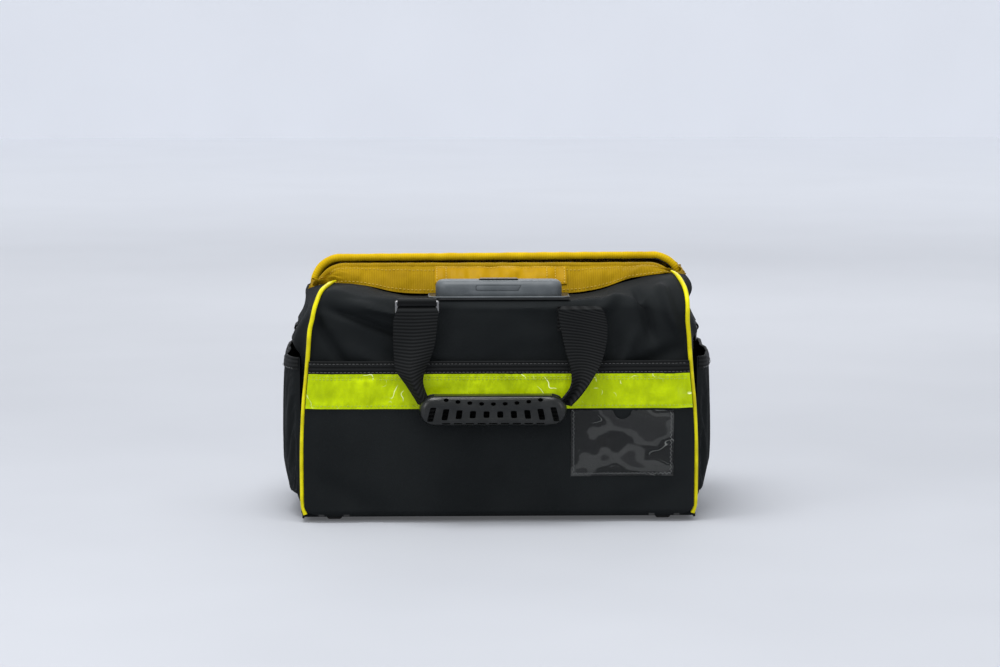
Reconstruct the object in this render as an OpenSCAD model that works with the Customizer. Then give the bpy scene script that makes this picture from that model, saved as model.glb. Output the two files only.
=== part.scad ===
// First responder equipment bag: a wide-mouth fabric bag with a framed yellow collar,
// outside pockets, two carry handles, a pull-out trolley handle and two wheels.
// The origin is on the floor under the middle of the bag, +X runs along its length,
// -Y is the front and +Z is up.

/* [Body] */
// Length of the body between its end seams
body_len = 410; // [400:2:420]
// Depth of the body over its front and rear pockets
body_dep = 230; // [228:1:236]
// Height of the flat shoulders above the floor
shoulder_h = 232; // [228:1:236]
// Half the width of the mouth between the two shoulders
mouth_half = 56; // [55:0.5:57]
// Thickness of the laminated body panels
panel_t = 3; // [2:0.5:3]
// Thickness of a single layer of pocket cloth
cloth_t = 2; // [1.5:0.5:2]

/* [Pockets and trim] */
// Height of the top edge of the front and rear pockets
pocket_h = 170; // [160:1:172]
// Height of the webbing that binds the pocket tops
hem_h = 15; // [12:1:16]
// Height of the reflective tape
tape_h = 36; // [30:1:40]
// How far the end pockets stand out from the ends
end_pocket_bulge = 18; // [14:1:20]
// Diameter of the piping in the end seams
piping_d = 5; // [4:0.5:5]

/* [Mouth] */
// Length of the collar frame legs, pivot to top bar
leg_len = 80; // [78:0.5:81]
// Lean of the front collar frame at rest, from upright
front_lean = 21.6; // [20:0.2:23]
// Lean of the rear collar frame at rest, from upright
rear_lean = 3; // [3:0.2:4]
// Diameter of the steel frame rod
rod_d = 5; // [4:0.5:5]

/* [Carry handles] */
// Width of the handle webbing
strap_w = 50; // [40:1:50]
// Distance from the bag's middle to each strap
strap_x = 85; // [80:1:86]
// Length of the moulded grip
grip_len = 152; // [148:1:154]
// Height of the moulded grip
grip_h = 35; // [30:1:36]

/* [Trolley] */
// Distance between the two trolley tubes
tube_pitch = 96; // [90:1:98]
// Length of the trolley grip
pull_len = 131; // [124:1:132]
// Diameter of the wheels
wheel_d = 44; // [40:1:44]

/* [Hidden] */
$fn = 48;

half_len = body_len / 2;
half_dep = body_dep / 2;
floor_gap = 4;                      // underside of the bag above the floor
base_t = 2;                         // bottom cloth
tray_t = 3;                         // moulded base tray
tray_z = floor_gap + base_t;        // underside of the tray
tray_top = tray_z + tray_t;
pocket_gap = 6;                     // room inside a flat outside pocket
panel_y = half_dep - cloth_t - pocket_gap;      // outer face of the main panels
panel_x = half_len - 2;             // main panels end here, where the end panels start
fold_r = 8;                         // soft fold between a panel's face and its shoulder
tape_top = pocket_h - hem_h;
trim_t = 1.5;                       // webbing and tape sewn on the outside

pivot_z = shoulder_h - 47;          // axis of the two collar frames
rod_r = rod_d / 2;
front_leg_x = 188;
rear_leg_x = 194;
frame_corner = 28;                  // bend radius of a frame's corners
pin_r = 3;                          // pin that both frames turn on
collar_t = 1.5;

axis_y = half_dep;                  // hinge line of a carry handle
axis_z = shoulder_h - 1;
ring_wire = 4;
ring_pitch = 10;                    // between the two long bars of a handle ring
loop_z = axis_z - ring_pitch;        // where the strap loops round the ring
ring_inner = 38;
grip_x = -7;                        // the grip hangs a little off centre
grip_y = half_dep + 17;             // middle of the grip, in front of the pocket
grip_z = 117;
grip_dep = 28;
web_t = 2;                          // thickness of webbing

tube_x = tube_pitch / 2;
trolley_y = -84;
tube_r = [11, 9.7, 8.4, 7.1];       // outer radii, fixed tube first
tube_wall = 1.2;
tube_bottom = tray_top + 3;
bezel_t = 3;
pull_z = shoulder_h + bezel_t;      // underside of the trolley grip
pull_h = 16;
pull_dep = 30;

wheel_r = wheel_d / 2;
wheel_x = 172;
wheel_y = -88;
wheel_w = 16;
housing_w = 32;
housing_top = 50;
axle_r = 3;
screw_r = 2;
foot_x = 150;
foot_y = 80;

end_tab_z = 192;                    // hinge line of the D-rings
end_tab_x = half_len + 6.5;

// ---------- shared shapes ----------

// A box between two opposite corners.
module block(a, b) {
    translate(a) cube(b - a);
}

// Children as they are and turned half round about the bag's middle, for the rear side.
module rear_side() {
    rotate([0, 0, 180]) children();
}

// Children at the right end, or mirrored to the left end.
module at_end(side) {
    if (side > 0) children();
    else mirror([1, 0, 0]) children();
}

// Children on both sides of the middle.
module both_ends() {
    children();
    mirror([1, 0, 0]) children();
}

// Points of an arc in a plane, between two angles.
function arc(cx, cy, r, a0, a1, n = 8) =
    [for (i = [0:n]) let (a = a0 + (a1 - a0) * i / n) [cx + r * cos(a), cy + r * sin(a)]];

// Turns a drawing in the plane of y and z into a solid that runs along x.
module along_x(x0, x1) {
    translate([x0, 0, 0]) rotate([90, 0, 90]) linear_extrude(x1 - x0) children();
}

// A round rod along x.
module rod_x(x0, x1, y, z, r) {
    translate([x0, y, z]) rotate([0, 90, 0]) cylinder(r = r, h = x1 - x0);
}

// A tube along z.
module tube(x, y, z0, z1, r, wall) {
    translate([x, y, z0]) difference() {
        cylinder(r = r, h = z1 - z0);
        translate([0, 0, -1]) cylinder(r = r - wall, h = z1 - z0 + 2);
    }
}

// A bar with rounded upper edges, drawn with its base on the x axis.
module round_top(w, h, r) {
    intersection() {
        translate([-w / 2, 0]) square([w, h]);
        union() {
            translate([-w / 2, 0]) square([w, h - r]);
            translate([-w / 2 + r, 0]) square([w - 2 * r, h]);
            for (s = [-1, 1]) translate([s * (w / 2 - r), h - r]) circle(r);
        }
    }
}

// ---------- body panels ----------

// Face and shoulder of the front panel in one piece of cloth, folded at the top.
module panel_profile() {
    out_z = shoulder_h - fold_r;
    in_r = fold_r - panel_t;
    polygon(concat(
        [[-panel_y, floor_gap]],
        arc(-panel_y + fold_r, out_z, fold_r, 180, 90),
        [[-mouth_half, shoulder_h], [-mouth_half, shoulder_h - panel_t]],
        arc(-panel_y + fold_r, out_z, in_r, 90, 180),
        [[-panel_y + panel_t, floor_gap]]
    ));
}

module front_panel() {
    color([0.11, 0.12, 0.13])
    difference() {
        along_x(-panel_x, panel_x) panel_profile();
        block([-69, trolley_y - 17, shoulder_h - 10], [69, trolley_y + 17, shoulder_h + 1]);
        both_ends() wheel_arch();
    }
}

// Room for a wheel housing in the front panel.
module wheel_arch() {
    block([wheel_x - housing_w / 2 - 2, -half_dep, 0],
          [wheel_x + housing_w / 2 + 2, -panel_y + panel_t + 1, housing_top + 4]);
}

module rear_panel() {
    color([0.11, 0.12, 0.13])
    rear_side() along_x(-panel_x, panel_x) panel_profile();
}

module end_panel(side) {
    color([0.1, 0.11, 0.12])
    at_end(side) along_x(panel_x, panel_x + panel_t)
        polygon(concat(
            [[-panel_y, floor_gap]],
            arc(-panel_y + fold_r, shoulder_h - fold_r, fold_r, 180, 90),
            arc(panel_y - fold_r, shoulder_h - fold_r, fold_r, 90, 0),
            [[panel_y, floor_gap]]
        ));
}

module base_panel() {
    color([0.09, 0.1, 0.1])
    difference() {
        block([-panel_x, -panel_y + panel_t, floor_gap], [panel_x, panel_y - panel_t, tray_z]);
        both_ends() housing_room(0, tray_z + 1);
        foot_pins(0.2);
    }
}

// Cut-out that a wheel housing passes through.
module housing_room(z0, z1) {
    block([wheel_x - housing_w / 2 - 1, -panel_y, z0], [wheel_x + housing_w / 2 + 1, wheel_y + 29, z1]);
}

module base_tray() {
    lip = 6;
    lip_t = 2;
    inner_y = panel_y - panel_t - 1;
    inner_x = panel_x - 3;
    color([0.16, 0.16, 0.17])
    difference() {
        block([-inner_x, -inner_y, tray_z], [inner_x, inner_y, tray_top + lip]);
        block([-inner_x + lip_t, -inner_y + lip_t, tray_top],
              [inner_x - lip_t, inner_y - lip_t, tray_top + lip + 1]);
        both_ends() housing_room(0, tray_top + lip + 1);
        foot_pins(0);
        screw_shanks();
    }
}

// ---------- pockets and trim ----------

// Flat outside pocket: face, two side strips and a bottom strip around a shallow room.
module pocket_tray() {
    difference() {
        block([-panel_x, -half_dep, floor_gap], [panel_x, -panel_y, pocket_h]);
        block([-panel_x + cloth_t, -half_dep + cloth_t, floor_gap + base_t], [panel_x - cloth_t, 0, pocket_h + 1]);
    }
}

// A strip sewn on the outside of a flat pocket.
module pocket_strip(z0, z1) {
    block([-panel_x, -half_dep - trim_t, z0], [panel_x, -half_dep, z1]);
}

module front_pocket() {
    color([0.12, 0.13, 0.13]) pocket_tray();
}

module rear_pocket() {
    color([0.12, 0.13, 0.13]) rear_side() pocket_tray();
}

module front_pocket_hem() {
    color([0.08, 0.08, 0.09]) pocket_strip(tape_top, pocket_h);
}

module rear_pocket_hem() {
    color([0.08, 0.08, 0.09]) rear_side() pocket_strip(tape_top, pocket_h);
}

module front_reflective_tape() {
    color([0.68, 0.78, 0.02]) pocket_strip(tape_top - tape_h, tape_top);
}

module rear_reflective_tape() {
    color([0.68, 0.78, 0.02]) rear_side() pocket_strip(tape_top - tape_h, tape_top);
}

// Clear card pocket: a welded border on three sides and a face, with a thumb notch on top.
module id_window() {
    x0 = 74;
    x1 = 181;
    z1 = tape_top - tape_h;
    z0 = z1 - 70;
    border = 4;
    slot_t = 0.6;
    face_t = 0.8;
    color([0.75, 0.78, 0.8, 0.4])
    difference() {
        block([x0, -half_dep - slot_t - face_t, z0], [x1, -half_dep, z1]);
        block([x0 + border, -half_dep - slot_t, z0 + border], [x1 - border, 0, z1 + 1]);
        translate([(x0 + x1) / 2, 0, z1 + 3]) rotate([90, 0, 0]) cylinder(r = 12, h = half_dep + 5);
    }
}

// Bulged side view of an end pocket, grown outwards by an offset.
function pocket_side(grow, z0, z1) = concat(
    [[half_len + 1, z0]],
    [for (i = [0:14]) let (t = i / 14)
        [half_len + 1 + grow + end_pocket_bulge * pow(sin(180 * (0.06 + 0.72 * t)), 0.7), z0 + (z1 - z0) * t]],
    [[half_len + 1, z1]]);

// Solid of an end pocket's side view across part of the bag's depth.
module pocket_solid(grow, half_w, z0, z1) {
    translate([0, half_w, 0]) rotate([90, 0, 0]) linear_extrude(2 * half_w)
        polygon(pocket_side(grow, z0, z1));
}

end_pocket_half = 88;
end_pocket_z = 14;

module end_pocket(side) {
    color([0.1, 0.1, 0.11])
    at_end(side) difference() {
        pocket_solid(0, end_pocket_half, end_pocket_z, pocket_h);
        translate([-0.01, 0, cloth_t])
            pocket_solid(-cloth_t, end_pocket_half - cloth_t, end_pocket_z, pocket_h);
    }
}

module end_pocket_hem(side) {
    color([0.08, 0.08, 0.09])
    at_end(side) intersection() {
        difference() {
            pocket_solid(trim_t, end_pocket_half + trim_t, end_pocket_z, pocket_h);
            pocket_solid(0.1, end_pocket_half + 0.1, end_pocket_z, pocket_h);
        }
        block([half_len + 1.2, -half_dep, pocket_h - hem_h], [half_len + 60, half_dep, pocket_h]);
    }
}

// Piping in an end seam: up the corner, round the fold and back along the shoulder.
module piping_run() {
    off = piping_d / 2 + 0.2;
    r = piping_d / 2;
    fold_z = shoulder_h - fold_r;
    fold_y = -panel_y + fold_r;
    translate([half_len + 1, 0, 0]) {
        translate([0, -panel_y - off, floor_gap + 6]) cylinder(r = r, h = fold_z - floor_gap - 6);
        translate([0, fold_y, fold_z]) rotate([90, 0, -90]) rotate_extrude(angle = 90)
            translate([fold_r + off, 0]) circle(r);
        translate([0, fold_y, shoulder_h + off]) rotate([-90, 0, 0])
            cylinder(r = r, h = -fold_y - mouth_half - 2);
    }
}

module piping(side, front) {
    color([0.85, 0.82, 0.08])
    at_end(side)
        if (front > 0) piping_run();
        else mirror([0, 1, 0]) piping_run();
}

// ---------- collar and its steel frames ----------

// Gusset that closes the mouth at one end, between the two collar halves.
module collar_gusset(side) {
    x = rear_leg_x + rod_r + 1.5;
    foot_z = shoulder_h - 8;
    color([0.85, 0.62, 0.05])
    at_end(side) {
        along_x(x, x + collar_t)
            polygon([[-mouth_half + 4, foot_z], [mouth_half - 4, foot_z], [mouth_half - 4, shoulder_h],
                     [14, shoulder_h + 22], [-28, shoulder_h + 18], [-mouth_half + 4, shoulder_h]]);
        block([x + 1, -mouth_half + 4, foot_z], [panel_x, mouth_half - 4, foot_z + 6]);
    }
}

// Bracket on the inside of an end panel, with the pin that both frames turn on.
module hinge_bracket(side) {
    color([0.6, 0.6, 0.62])
    at_end(side) {
        block([panel_x - 3, -15, pivot_z - 14], [panel_x, 15, pivot_z + 14]);
        rod_x(front_leg_x - 4, panel_x - 3, 0, pivot_z, pin_r);
        rod_x(front_leg_x - 6, front_leg_x - 4, 0, pivot_z, pin_r + 2);
    }
}

// U-shaped steel rod with an eye at each foot, upright over the pivot line.
module collar_frame(leg_x) {
    eye_r = 7;
    both_ends() {
        rod_x(-1, leg_x - frame_corner, 0, leg_len, rod_r);
        translate([leg_x - frame_corner, 0, leg_len - frame_corner]) rotate([90, 0, 0])
            rotate_extrude(angle = 90) translate([frame_corner, 0]) circle(rod_r);
        translate([leg_x, 0, eye_r - 1]) cylinder(r = rod_r, h = leg_len - frame_corner - eye_r + 1);
        difference() {
            rod_x(leg_x - 2, leg_x + 2, 0, 0, eye_r);
            rod_x(leg_x - 3, leg_x + 3, 0, 0, pin_r + 0.05);
        }
    }
}

module front_collar_frame() {
    color([0.62, 0.63, 0.65])
    translate([0, 0, pivot_z]) rotate([front_lean, 0, 0]) collar_frame(front_leg_x);
}

module rear_collar_frame() {
    color([0.62, 0.63, 0.65])
    translate([0, 0, pivot_z]) rotate([-rear_lean, 0, 0]) collar_frame(rear_leg_x);
}

// Height above the pivot and distance from the middle of a frame's top bar.
function bar_y(lean) = leg_len * sin(lean);
function bar_z(lean) = pivot_z + leg_len * cos(lean);

// Half of the collar: a hem round the top bar and a sheet down to the shoulder's edge.
module collar_half(lean) {
    run_y = mouth_half + 1 - bar_y(lean);
    run_z = bar_z(lean) - shoulder_h - 1.5;
    sheet = sqrt(run_y * run_y + run_z * run_z);
    half = front_leg_x - frame_corner - 3;
    seam_half = rear_leg_x;
    translate([0, -bar_y(lean), bar_z(lean)]) {
        difference() {
            rod_x(-half, half, 0, 0, rod_r + collar_t);
            rod_x(-half - 1, half + 1, 0, 0, rod_r + 0.1);
        }
        rotate([-atan2(run_y, run_z), 0, 0]) translate([0, collar_t / 2, 0]) rotate([90, 0, 0])
            linear_extrude(collar_t) polygon([[-seam_half, -sheet], [seam_half, -sheet],
                [half - 1, -rod_r - 0.6], [1 - half, -rod_r - 0.6]]);
    }
}

module front_collar() {
    color([0.85, 0.6, 0.04]) collar_half(front_lean);
}

module rear_collar() {
    color([0.85, 0.6, 0.04]) mirror([0, 1, 0]) collar_half(rear_lean);
}

// Hook-and-loop strip sewn to the outside of the front collar.
module closure_strip() {
    run_y = mouth_half + 1 - bar_y(front_lean);
    run_z = bar_z(front_lean) - shoulder_h - 1.5;
    color([0.95, 0.68, 0.05])
    translate([3, -bar_y(front_lean), bar_z(front_lean)]) rotate([-atan2(run_y, run_z), 0, 0])
        block([-70, -collar_t / 2 - 1.5, -26], [70, -collar_t / 2, -5]);
}

// ---------- carry handles ----------

// Tab that holds a handle ring: a roll that the ring's upper bar turns in, and a sewn tail.
module ring_tab() {
    w = ring_inner - 2;
    z = axis_z;
    difference() {
        union() {
            rod_x(-strap_x - w / 2, -strap_x + w / 2, -axis_y, z, ring_wire / 2 + 2.5);
            block([-strap_x - w / 2, -axis_y, z - 2], [-strap_x + w / 2, -panel_y, z]);
            block([-strap_x - w / 2, -panel_y - 2, 196], [-strap_x + w / 2, -panel_y, z - 0.5]);
        }
        rod_x(-strap_x - w, -strap_x + w, -axis_y, z, ring_wire / 2 + 0.1);
        block([-strap_x - w, -panel_y, z - 10], [-strap_x + w, 0, z + 10]);
    }
}

module handle_ring_tabs() {
    color([0.09, 0.09, 0.1]) {
        ring_tab();
        rear_side() ring_tab();
    }
}

// Rectangular wire ring: its upper bar turns in the tab, its lower bar carries the strap.
module handle_ring() {
    r = ring_wire / 2;
    half = ring_inner / 2 + r;
    translate([-strap_x, -axis_y, loop_z]) {
        for (z = [0, ring_pitch]) rod_x(-half, half, 0, z, r);
        for (s = [-1, 1]) translate([s * half, 0, 0]) {
            cylinder(r = r, h = ring_pitch);
            for (z = [0, ring_pitch]) translate([0, 0, z]) sphere(r);
        }
    }
}

module front_handle_ring() {
    color([0.7, 0.7, 0.72]) handle_ring();
}

module rear_handle_ring() {
    color([0.7, 0.7, 0.72]) rear_side() handle_ring();
}

// Patch where the other end of a handle strap is sewn to the body.
module strap_root() {
    block([strap_x - strap_w / 2, -panel_y - 2, 200], [strap_x + strap_w / 2, -panel_y, loop_z + 5]);
}

module strap_roots() {
    color([0.09, 0.09, 0.1]) {
        strap_root();
        rear_side() strap_root();
    }
}

grip_top = grip_z + grip_h / 2;
core_half = 11;                     // half the width of the webbing inside the grip
end_half = 8;                       // half its width where it is folded into the grip
end_x = [grip_x - grip_len / 2 + 9, grip_x + grip_len / 2 - 9];

// One leg of a handle strap, narrowing where it is folded into the grip.
module strap_leg(x, top_z, top_w, foot_x) {
    top_y = axis_y + ring_wire / 2 + web_t + 0.4;
    drop = top_z - grip_top;
    slant = atan2(grip_y + web_t / 2 - 0.4 - top_y, drop);
    lower = drop / cos(slant) - 1;
    top_half = top_w / 2 - 0.5;
    foot_half = end_half - 0.5;
    translate([0, -top_y, top_z]) rotate([-slant, 0, 0]) translate([0, web_t, 0]) rotate([90, 0, 0])
        linear_extrude(web_t)
        polygon([[x - top_half, 0], [x + top_half, 0], [x + strap_w / 2, -16],
                 [x + strap_w / 2 - 4, -45], [foot_x + foot_half, -lower],
                 [foot_x - foot_half, -lower], [x - strap_w / 2 + 4, -45], [x - strap_w / 2, -16]]);
}

// The webbing that runs through a grip, in a plane; grow widens it to cut its slot.
module strap_core(grow) {
    t = web_t / 2 + grow;
    w = core_half + grow;
    block([end_x[0] - end_half - grow, -grip_y - t, grip_z - w],
          [end_x[1] + end_half + grow, -grip_y + t, grip_z + w]);
    for (x = end_x)
        block([x - end_half - grow, -grip_y - t, grip_z], [x + end_half + grow, -grip_y + t, grip_top + 3]);
}

// Webbing of a carry handle, from its ring through the grip to its sewn end.
module handle_strap() {
    loop_w = ring_inner - 2;
    loop_r = ring_wire / 2 + 0.1;
    difference() {
        union() {
            rod_x(-strap_x - loop_w / 2, -strap_x + loop_w / 2, -axis_y, loop_z, loop_r + web_t);
            rod_x(strap_x - strap_w / 2, strap_x + strap_w / 2, -axis_y, axis_z, loop_r + web_t);
            strap_leg(-strap_x, loop_z, loop_w, end_x[0]);
            strap_leg(strap_x, axis_z, strap_w, end_x[1]);
            strap_core(0);
        }
        rod_x(-strap_x - strap_w, 0, -axis_y, loop_z, loop_r);
        rod_x(0, strap_x + strap_w, -axis_y, axis_z, loop_r);
    }
}

// Moulded grip: a pierced outer shell that the webbing runs through.
module handle_grip() {
    end_r = 13;
    wall = 5;
    face = -grip_y - grip_dep / 2;
    color([0.14, 0.15, 0.15])
    difference() {
        translate([grip_x, -grip_y + grip_dep / 2, grip_z]) rotate([90, 0, 0])
            linear_extrude(grip_dep) grip_outline(end_r);
        strap_core(0.1);
        for (i = [-4.5:4.5]) let (x = grip_x + 14 * i, h = 6 + 0.35 * i * i)
            block([x - 3.5, face - 1, grip_z - 1 - h / 2], [x + 3.5, face + wall, grip_z - 1 + h / 2]);
        for (i = [-4:4]) {
            translate([grip_x + 12 * i, face + wall, grip_top - 6 + 0.2 * i * i]) rotate([90, 0, 0])
                cylinder(r = 2, h = wall + 1);
            block([grip_x + 12 * i - 4, face - 1, grip_z - grip_h / 2 + 3],
                  [grip_x + 12 * i + 4, face + wall, grip_z - grip_h / 2 + 4.5]);
        }
    }
}

module grip_outline(r) {
    square([grip_len - 2 * r, grip_h], center = true);
    square([grip_len, grip_h - 2 * r], center = true);
    for (sx = [-1, 1], sz = [-1, 1])
        translate([sx * (grip_len / 2 - r), sz * (grip_h / 2 - r)]) circle(r);
}

module front_handle_strap() {
    color([0.1, 0.1, 0.11]) handle_strap();
}

module rear_handle_strap() {
    color([0.1, 0.1, 0.11]) rear_side() handle_strap();
}

module front_handle_grip() {
    handle_grip();
}

module rear_handle_grip() {
    rear_side() handle_grip();
}

// ---------- D-rings at the ends ----------

d_ring_r = 15;
d_tab_half = 11.5;

// Webbing tab with a roll that holds a D-ring's straight bar.
module d_ring_tab() {
    difference() {
        union() {
            translate([end_tab_x, d_tab_half, end_tab_z]) rotate([90, 0, 0])
                cylinder(r = ring_wire / 2 + 2.3, h = 2 * d_tab_half);
            block([half_len + 1, -d_tab_half, end_tab_z + 1], [end_tab_x, d_tab_half, end_tab_z + 4]);
            block([half_len + 1, -d_tab_half, end_tab_z + 1], [half_len + 3.5, d_tab_half, end_tab_z + 28]);
        }
        translate([end_tab_x, d_tab_half + 1, end_tab_z]) rotate([90, 0, 0])
            cylinder(r = ring_wire / 2 + 0.1, h = 2 * d_tab_half + 2);
    }
}

module d_ring_tabs() {
    color([0.09, 0.09, 0.1]) both_ends() d_ring_tab();
}

module d_ring(side) {
    r = ring_wire / 2;
    color([0.7, 0.7, 0.72])
    at_end(side) translate([end_tab_x, 0, end_tab_z]) {
        rotate([90, 0, 0]) translate([0, 0, -d_ring_r]) cylinder(r = r, h = 2 * d_ring_r);
        rotate([0, 90, 0]) rotate([0, 0, -90]) rotate_extrude(angle = 180) translate([d_ring_r, 0]) circle(r);
        for (s = [-1, 1]) translate([0, s * d_ring_r, 0]) sphere(r);
    }
}

// ---------- trolley handle ----------

module trolley_bezel() {
    sleeve_z = shoulder_h - 20;
    color([0.36, 0.38, 0.4])
    difference() {
        union() {
            block([-73, trolley_y - 20, shoulder_h], [73, trolley_y + 20, pull_z]);
            both_ends() block([tube_x - 16, trolley_y - 15, sleeve_z], [tube_x + 16, trolley_y + 15, shoulder_h]);
        }
        for (s = [-1, 1]) translate([s * tube_x, trolley_y, 0]) {
            translate([0, 0, sleeve_z - 1]) cylinder(r = tube_r[0], h = 17);
            translate([0, 0, sleeve_z]) cylinder(r = tube_r[1] + 0.1, h = 30);
        }
    }
}

module tube_sockets() {
    color([0.16, 0.16, 0.17])
    both_ends() difference() {
        block([tube_x - 15, trolley_y - 15, tray_top], [tube_x + 15, trolley_y + 15, tray_top + 27]);
        translate([tube_x, trolley_y, tube_bottom]) cylinder(r = tube_r[0], h = 40);
    }
}

// A pair of trolley tubes of one stage, fixed tube first.
module tube_pair(stage, z0, z1) {
    both_ends() tube(tube_x, trolley_y, z0, z1, tube_r[stage], tube_wall);
}

module outer_tubes() {
    color([0.55, 0.56, 0.58]) tube_pair(0, tube_bottom, shoulder_h - 4);
}

module lower_tubes() {
    color([0.62, 0.63, 0.65]) tube_pair(1, tube_bottom + 4, pull_z - 3.5);
}

module middle_tubes() {
    color([0.68, 0.69, 0.71]) tube_pair(2, tube_bottom + 6, pull_z - 1.5);
}

module upper_tubes() {
    color([0.74, 0.75, 0.77]) tube_pair(3, tube_bottom + 8, pull_z + 6);
}

module trolley_grip() {
    cavity_z = pull_z + 6;
    color([0.36, 0.38, 0.4])
    translate([0, trolley_y, 0]) difference() {
        intersection() {
            translate([0, pull_dep / 2, pull_z]) rotate([90, 0, 0]) linear_extrude(pull_dep)
                round_top(pull_len, pull_h, 11);
            along_x(-pull_len, pull_len) translate([0, pull_z]) round_top(pull_dep, pull_h, 9);
        }
        block([-54, -7, cavity_z], [54, 7, pull_z + pull_h - 3]);
        block([-20.2, -5.2, cavity_z], [20.2, 5.2, pull_z + pull_h + 1]);
        both_ends() {
            translate([tube_x, 0, pull_z - 1]) cylinder(r = tube_r[3], h = 7);
            translate([26, 0, pull_z + 2]) cylinder(r = 3.6, h = 6);
        }
    }
}

// Cross bar under the button, with the two long rods that reach down the tubes.
module release_bar() {
    bar_top = pull_z + pull_h - 3.5;
    color([0.6, 0.6, 0.62])
    translate([0, trolley_y, 0]) {
        block([-52, -3, bar_top - 2], [52, 3, bar_top]);
        both_ends() translate([tube_x, 0, 40]) cylinder(r = 2.5, h = bar_top - 41);
    }
}

module release_button() {
    base = pull_z + pull_h - 3.5;
    color([0.2, 0.21, 0.22])
    translate([0, trolley_y + 5, base]) rotate([90, 0, 0]) linear_extrude(10) round_top(40, 5, 1.5);
}

// A coil spring as one swept wire, from the floor of its pocket to the cross bar.
module coil_spring(height, coil_r, wire_r, turns) {
    steps = 14 * turns;
    sides = 6;
    rise = height - 2 * wire_r;
    rings = [for (i = [0:steps]) let (a = 360 * turns * i / steps, z = wire_r + rise * i / steps)
        [for (k = [0:sides - 1]) let (b = 360 * k / sides, r = coil_r + wire_r * cos(b))
            [r * cos(a), r * sin(a), z + wire_r * sin(b)]]];
    points = [for (ring = rings) each ring];
    walls = [for (i = [0:steps - 1], k = [0:sides - 1]) let (n = (k + 1) % sides)
        [i * sides + k, (i + 1) * sides + k, (i + 1) * sides + n, i * sides + n]];
    caps = [[for (k = [0:sides - 1]) k], [for (k = [sides - 1:-1:0]) steps * sides + k]];
    polyhedron(points, concat(walls, caps));
}

module release_springs() {
    color([0.7, 0.7, 0.72])
    translate([0, trolley_y, pull_z + 2]) for (s = [-1, 1]) translate([s * 26, 0, 0])
        coil_spring(8.4, 2.6, 0.4, 4);
}

// ---------- wheels and base fittings ----------

// Moulded housing over one wheel, open below and in front, with a flange on the tray.
module wheel_housing(side) {
    half = housing_w / 2;
    room = wheel_w / 2 + 2;
    color([0.15, 0.15, 0.16])
    at_end(side) difference() {
        union() {
            block([wheel_x - half, -half_dep + 3.5, tray_z + 0.5], [wheel_x + half, wheel_y + 28, housing_top]);
            block([wheel_x - half - 8, wheel_y + 10, tray_top], [wheel_x + half + 8, wheel_y + 38, tray_top + 2.5]);
        }
        translate([wheel_x - room, wheel_y, wheel_r]) rotate([0, 90, 0]) cylinder(r = wheel_r + 3, h = 2 * room);
        block([wheel_x - room, -half_dep, 0], [wheel_x + room, wheel_y, wheel_r]);
        rod_x(wheel_x - half - 1, wheel_x + half + 1, wheel_y, wheel_r, axle_r);
        screw_shanks();
    }
}

module wheel_axles() {
    color([0.66, 0.67, 0.69])
    both_ends() rod_x(wheel_x - housing_w / 2, wheel_x + housing_w / 2, wheel_y, wheel_r, axle_r);
}

module wheel_hub(side) {
    half = wheel_w / 2;
    color([0.25, 0.26, 0.27])
    at_end(side) translate([wheel_x, wheel_y, wheel_r]) rotate([0, 90, 0]) translate([0, 0, -half])
        difference() {
            cylinder(r = wheel_r - 6, h = wheel_w);
            translate([0, 0, -1]) cylinder(r = axle_r + 0.05, h = wheel_w + 2);
            for (z = [-1, wheel_w - 3]) translate([0, 0, z]) difference() {
                cylinder(r = wheel_r - 9, h = 4);
                translate([0, 0, -1]) cylinder(r = 6, h = 6);
            }
        }
}

module tyre(side) {
    half = wheel_w / 2;
    edge = 3;
    color([0.09, 0.09, 0.09])
    at_end(side) translate([wheel_x, wheel_y, wheel_r]) rotate([0, 90, 0]) rotate_extrude($fn = 96) {
        translate([wheel_r - 6, -half]) square([6 - edge, wheel_w]);
        translate([wheel_r - 6, -half + edge]) square([6, wheel_w - 2 * edge]);
        for (s = [-1, 1]) translate([wheel_r - edge, s * (half - edge)]) circle(edge, $fn = 32);
    }
}

// Screws that hold the housings to the tray, two on each side of each wheel.
function screw_places() = [for (s = [-1, 1], y = [16, 32]) [wheel_x + s * (housing_w / 2 + 4), wheel_y + y]];

module screw_shanks() {
    for (side = [-1, 1]) at_end(side) for (p = screw_places())
        translate([p[0], p[1], tray_z - 1]) cylinder(r = screw_r, h = 8);
}

module housing_screws() {
    color([0.7, 0.7, 0.72])
    both_ends() for (p = screw_places()) translate([p[0], p[1], 0]) {
        translate([0, 0, tray_z]) cylinder(r = screw_r, h = tray_t + 3);
        translate([0, 0, tray_top + 2.5]) cylinder(r = 3.5, h = 2);
    }
}

module foot_pins(clear) {
    for (s = [-1, 1]) translate([s * foot_x, foot_y, floor_gap - 1]) cylinder(r = 3 + clear, h = 1 + base_t + tray_t);
}

module rubber_feet() {
    color([0.07, 0.07, 0.07]) {
        for (s = [-1, 1]) translate([s * foot_x, foot_y, 0]) cylinder(r = 13, h = floor_gap);
        foot_pins(0);
    }
}

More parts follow.
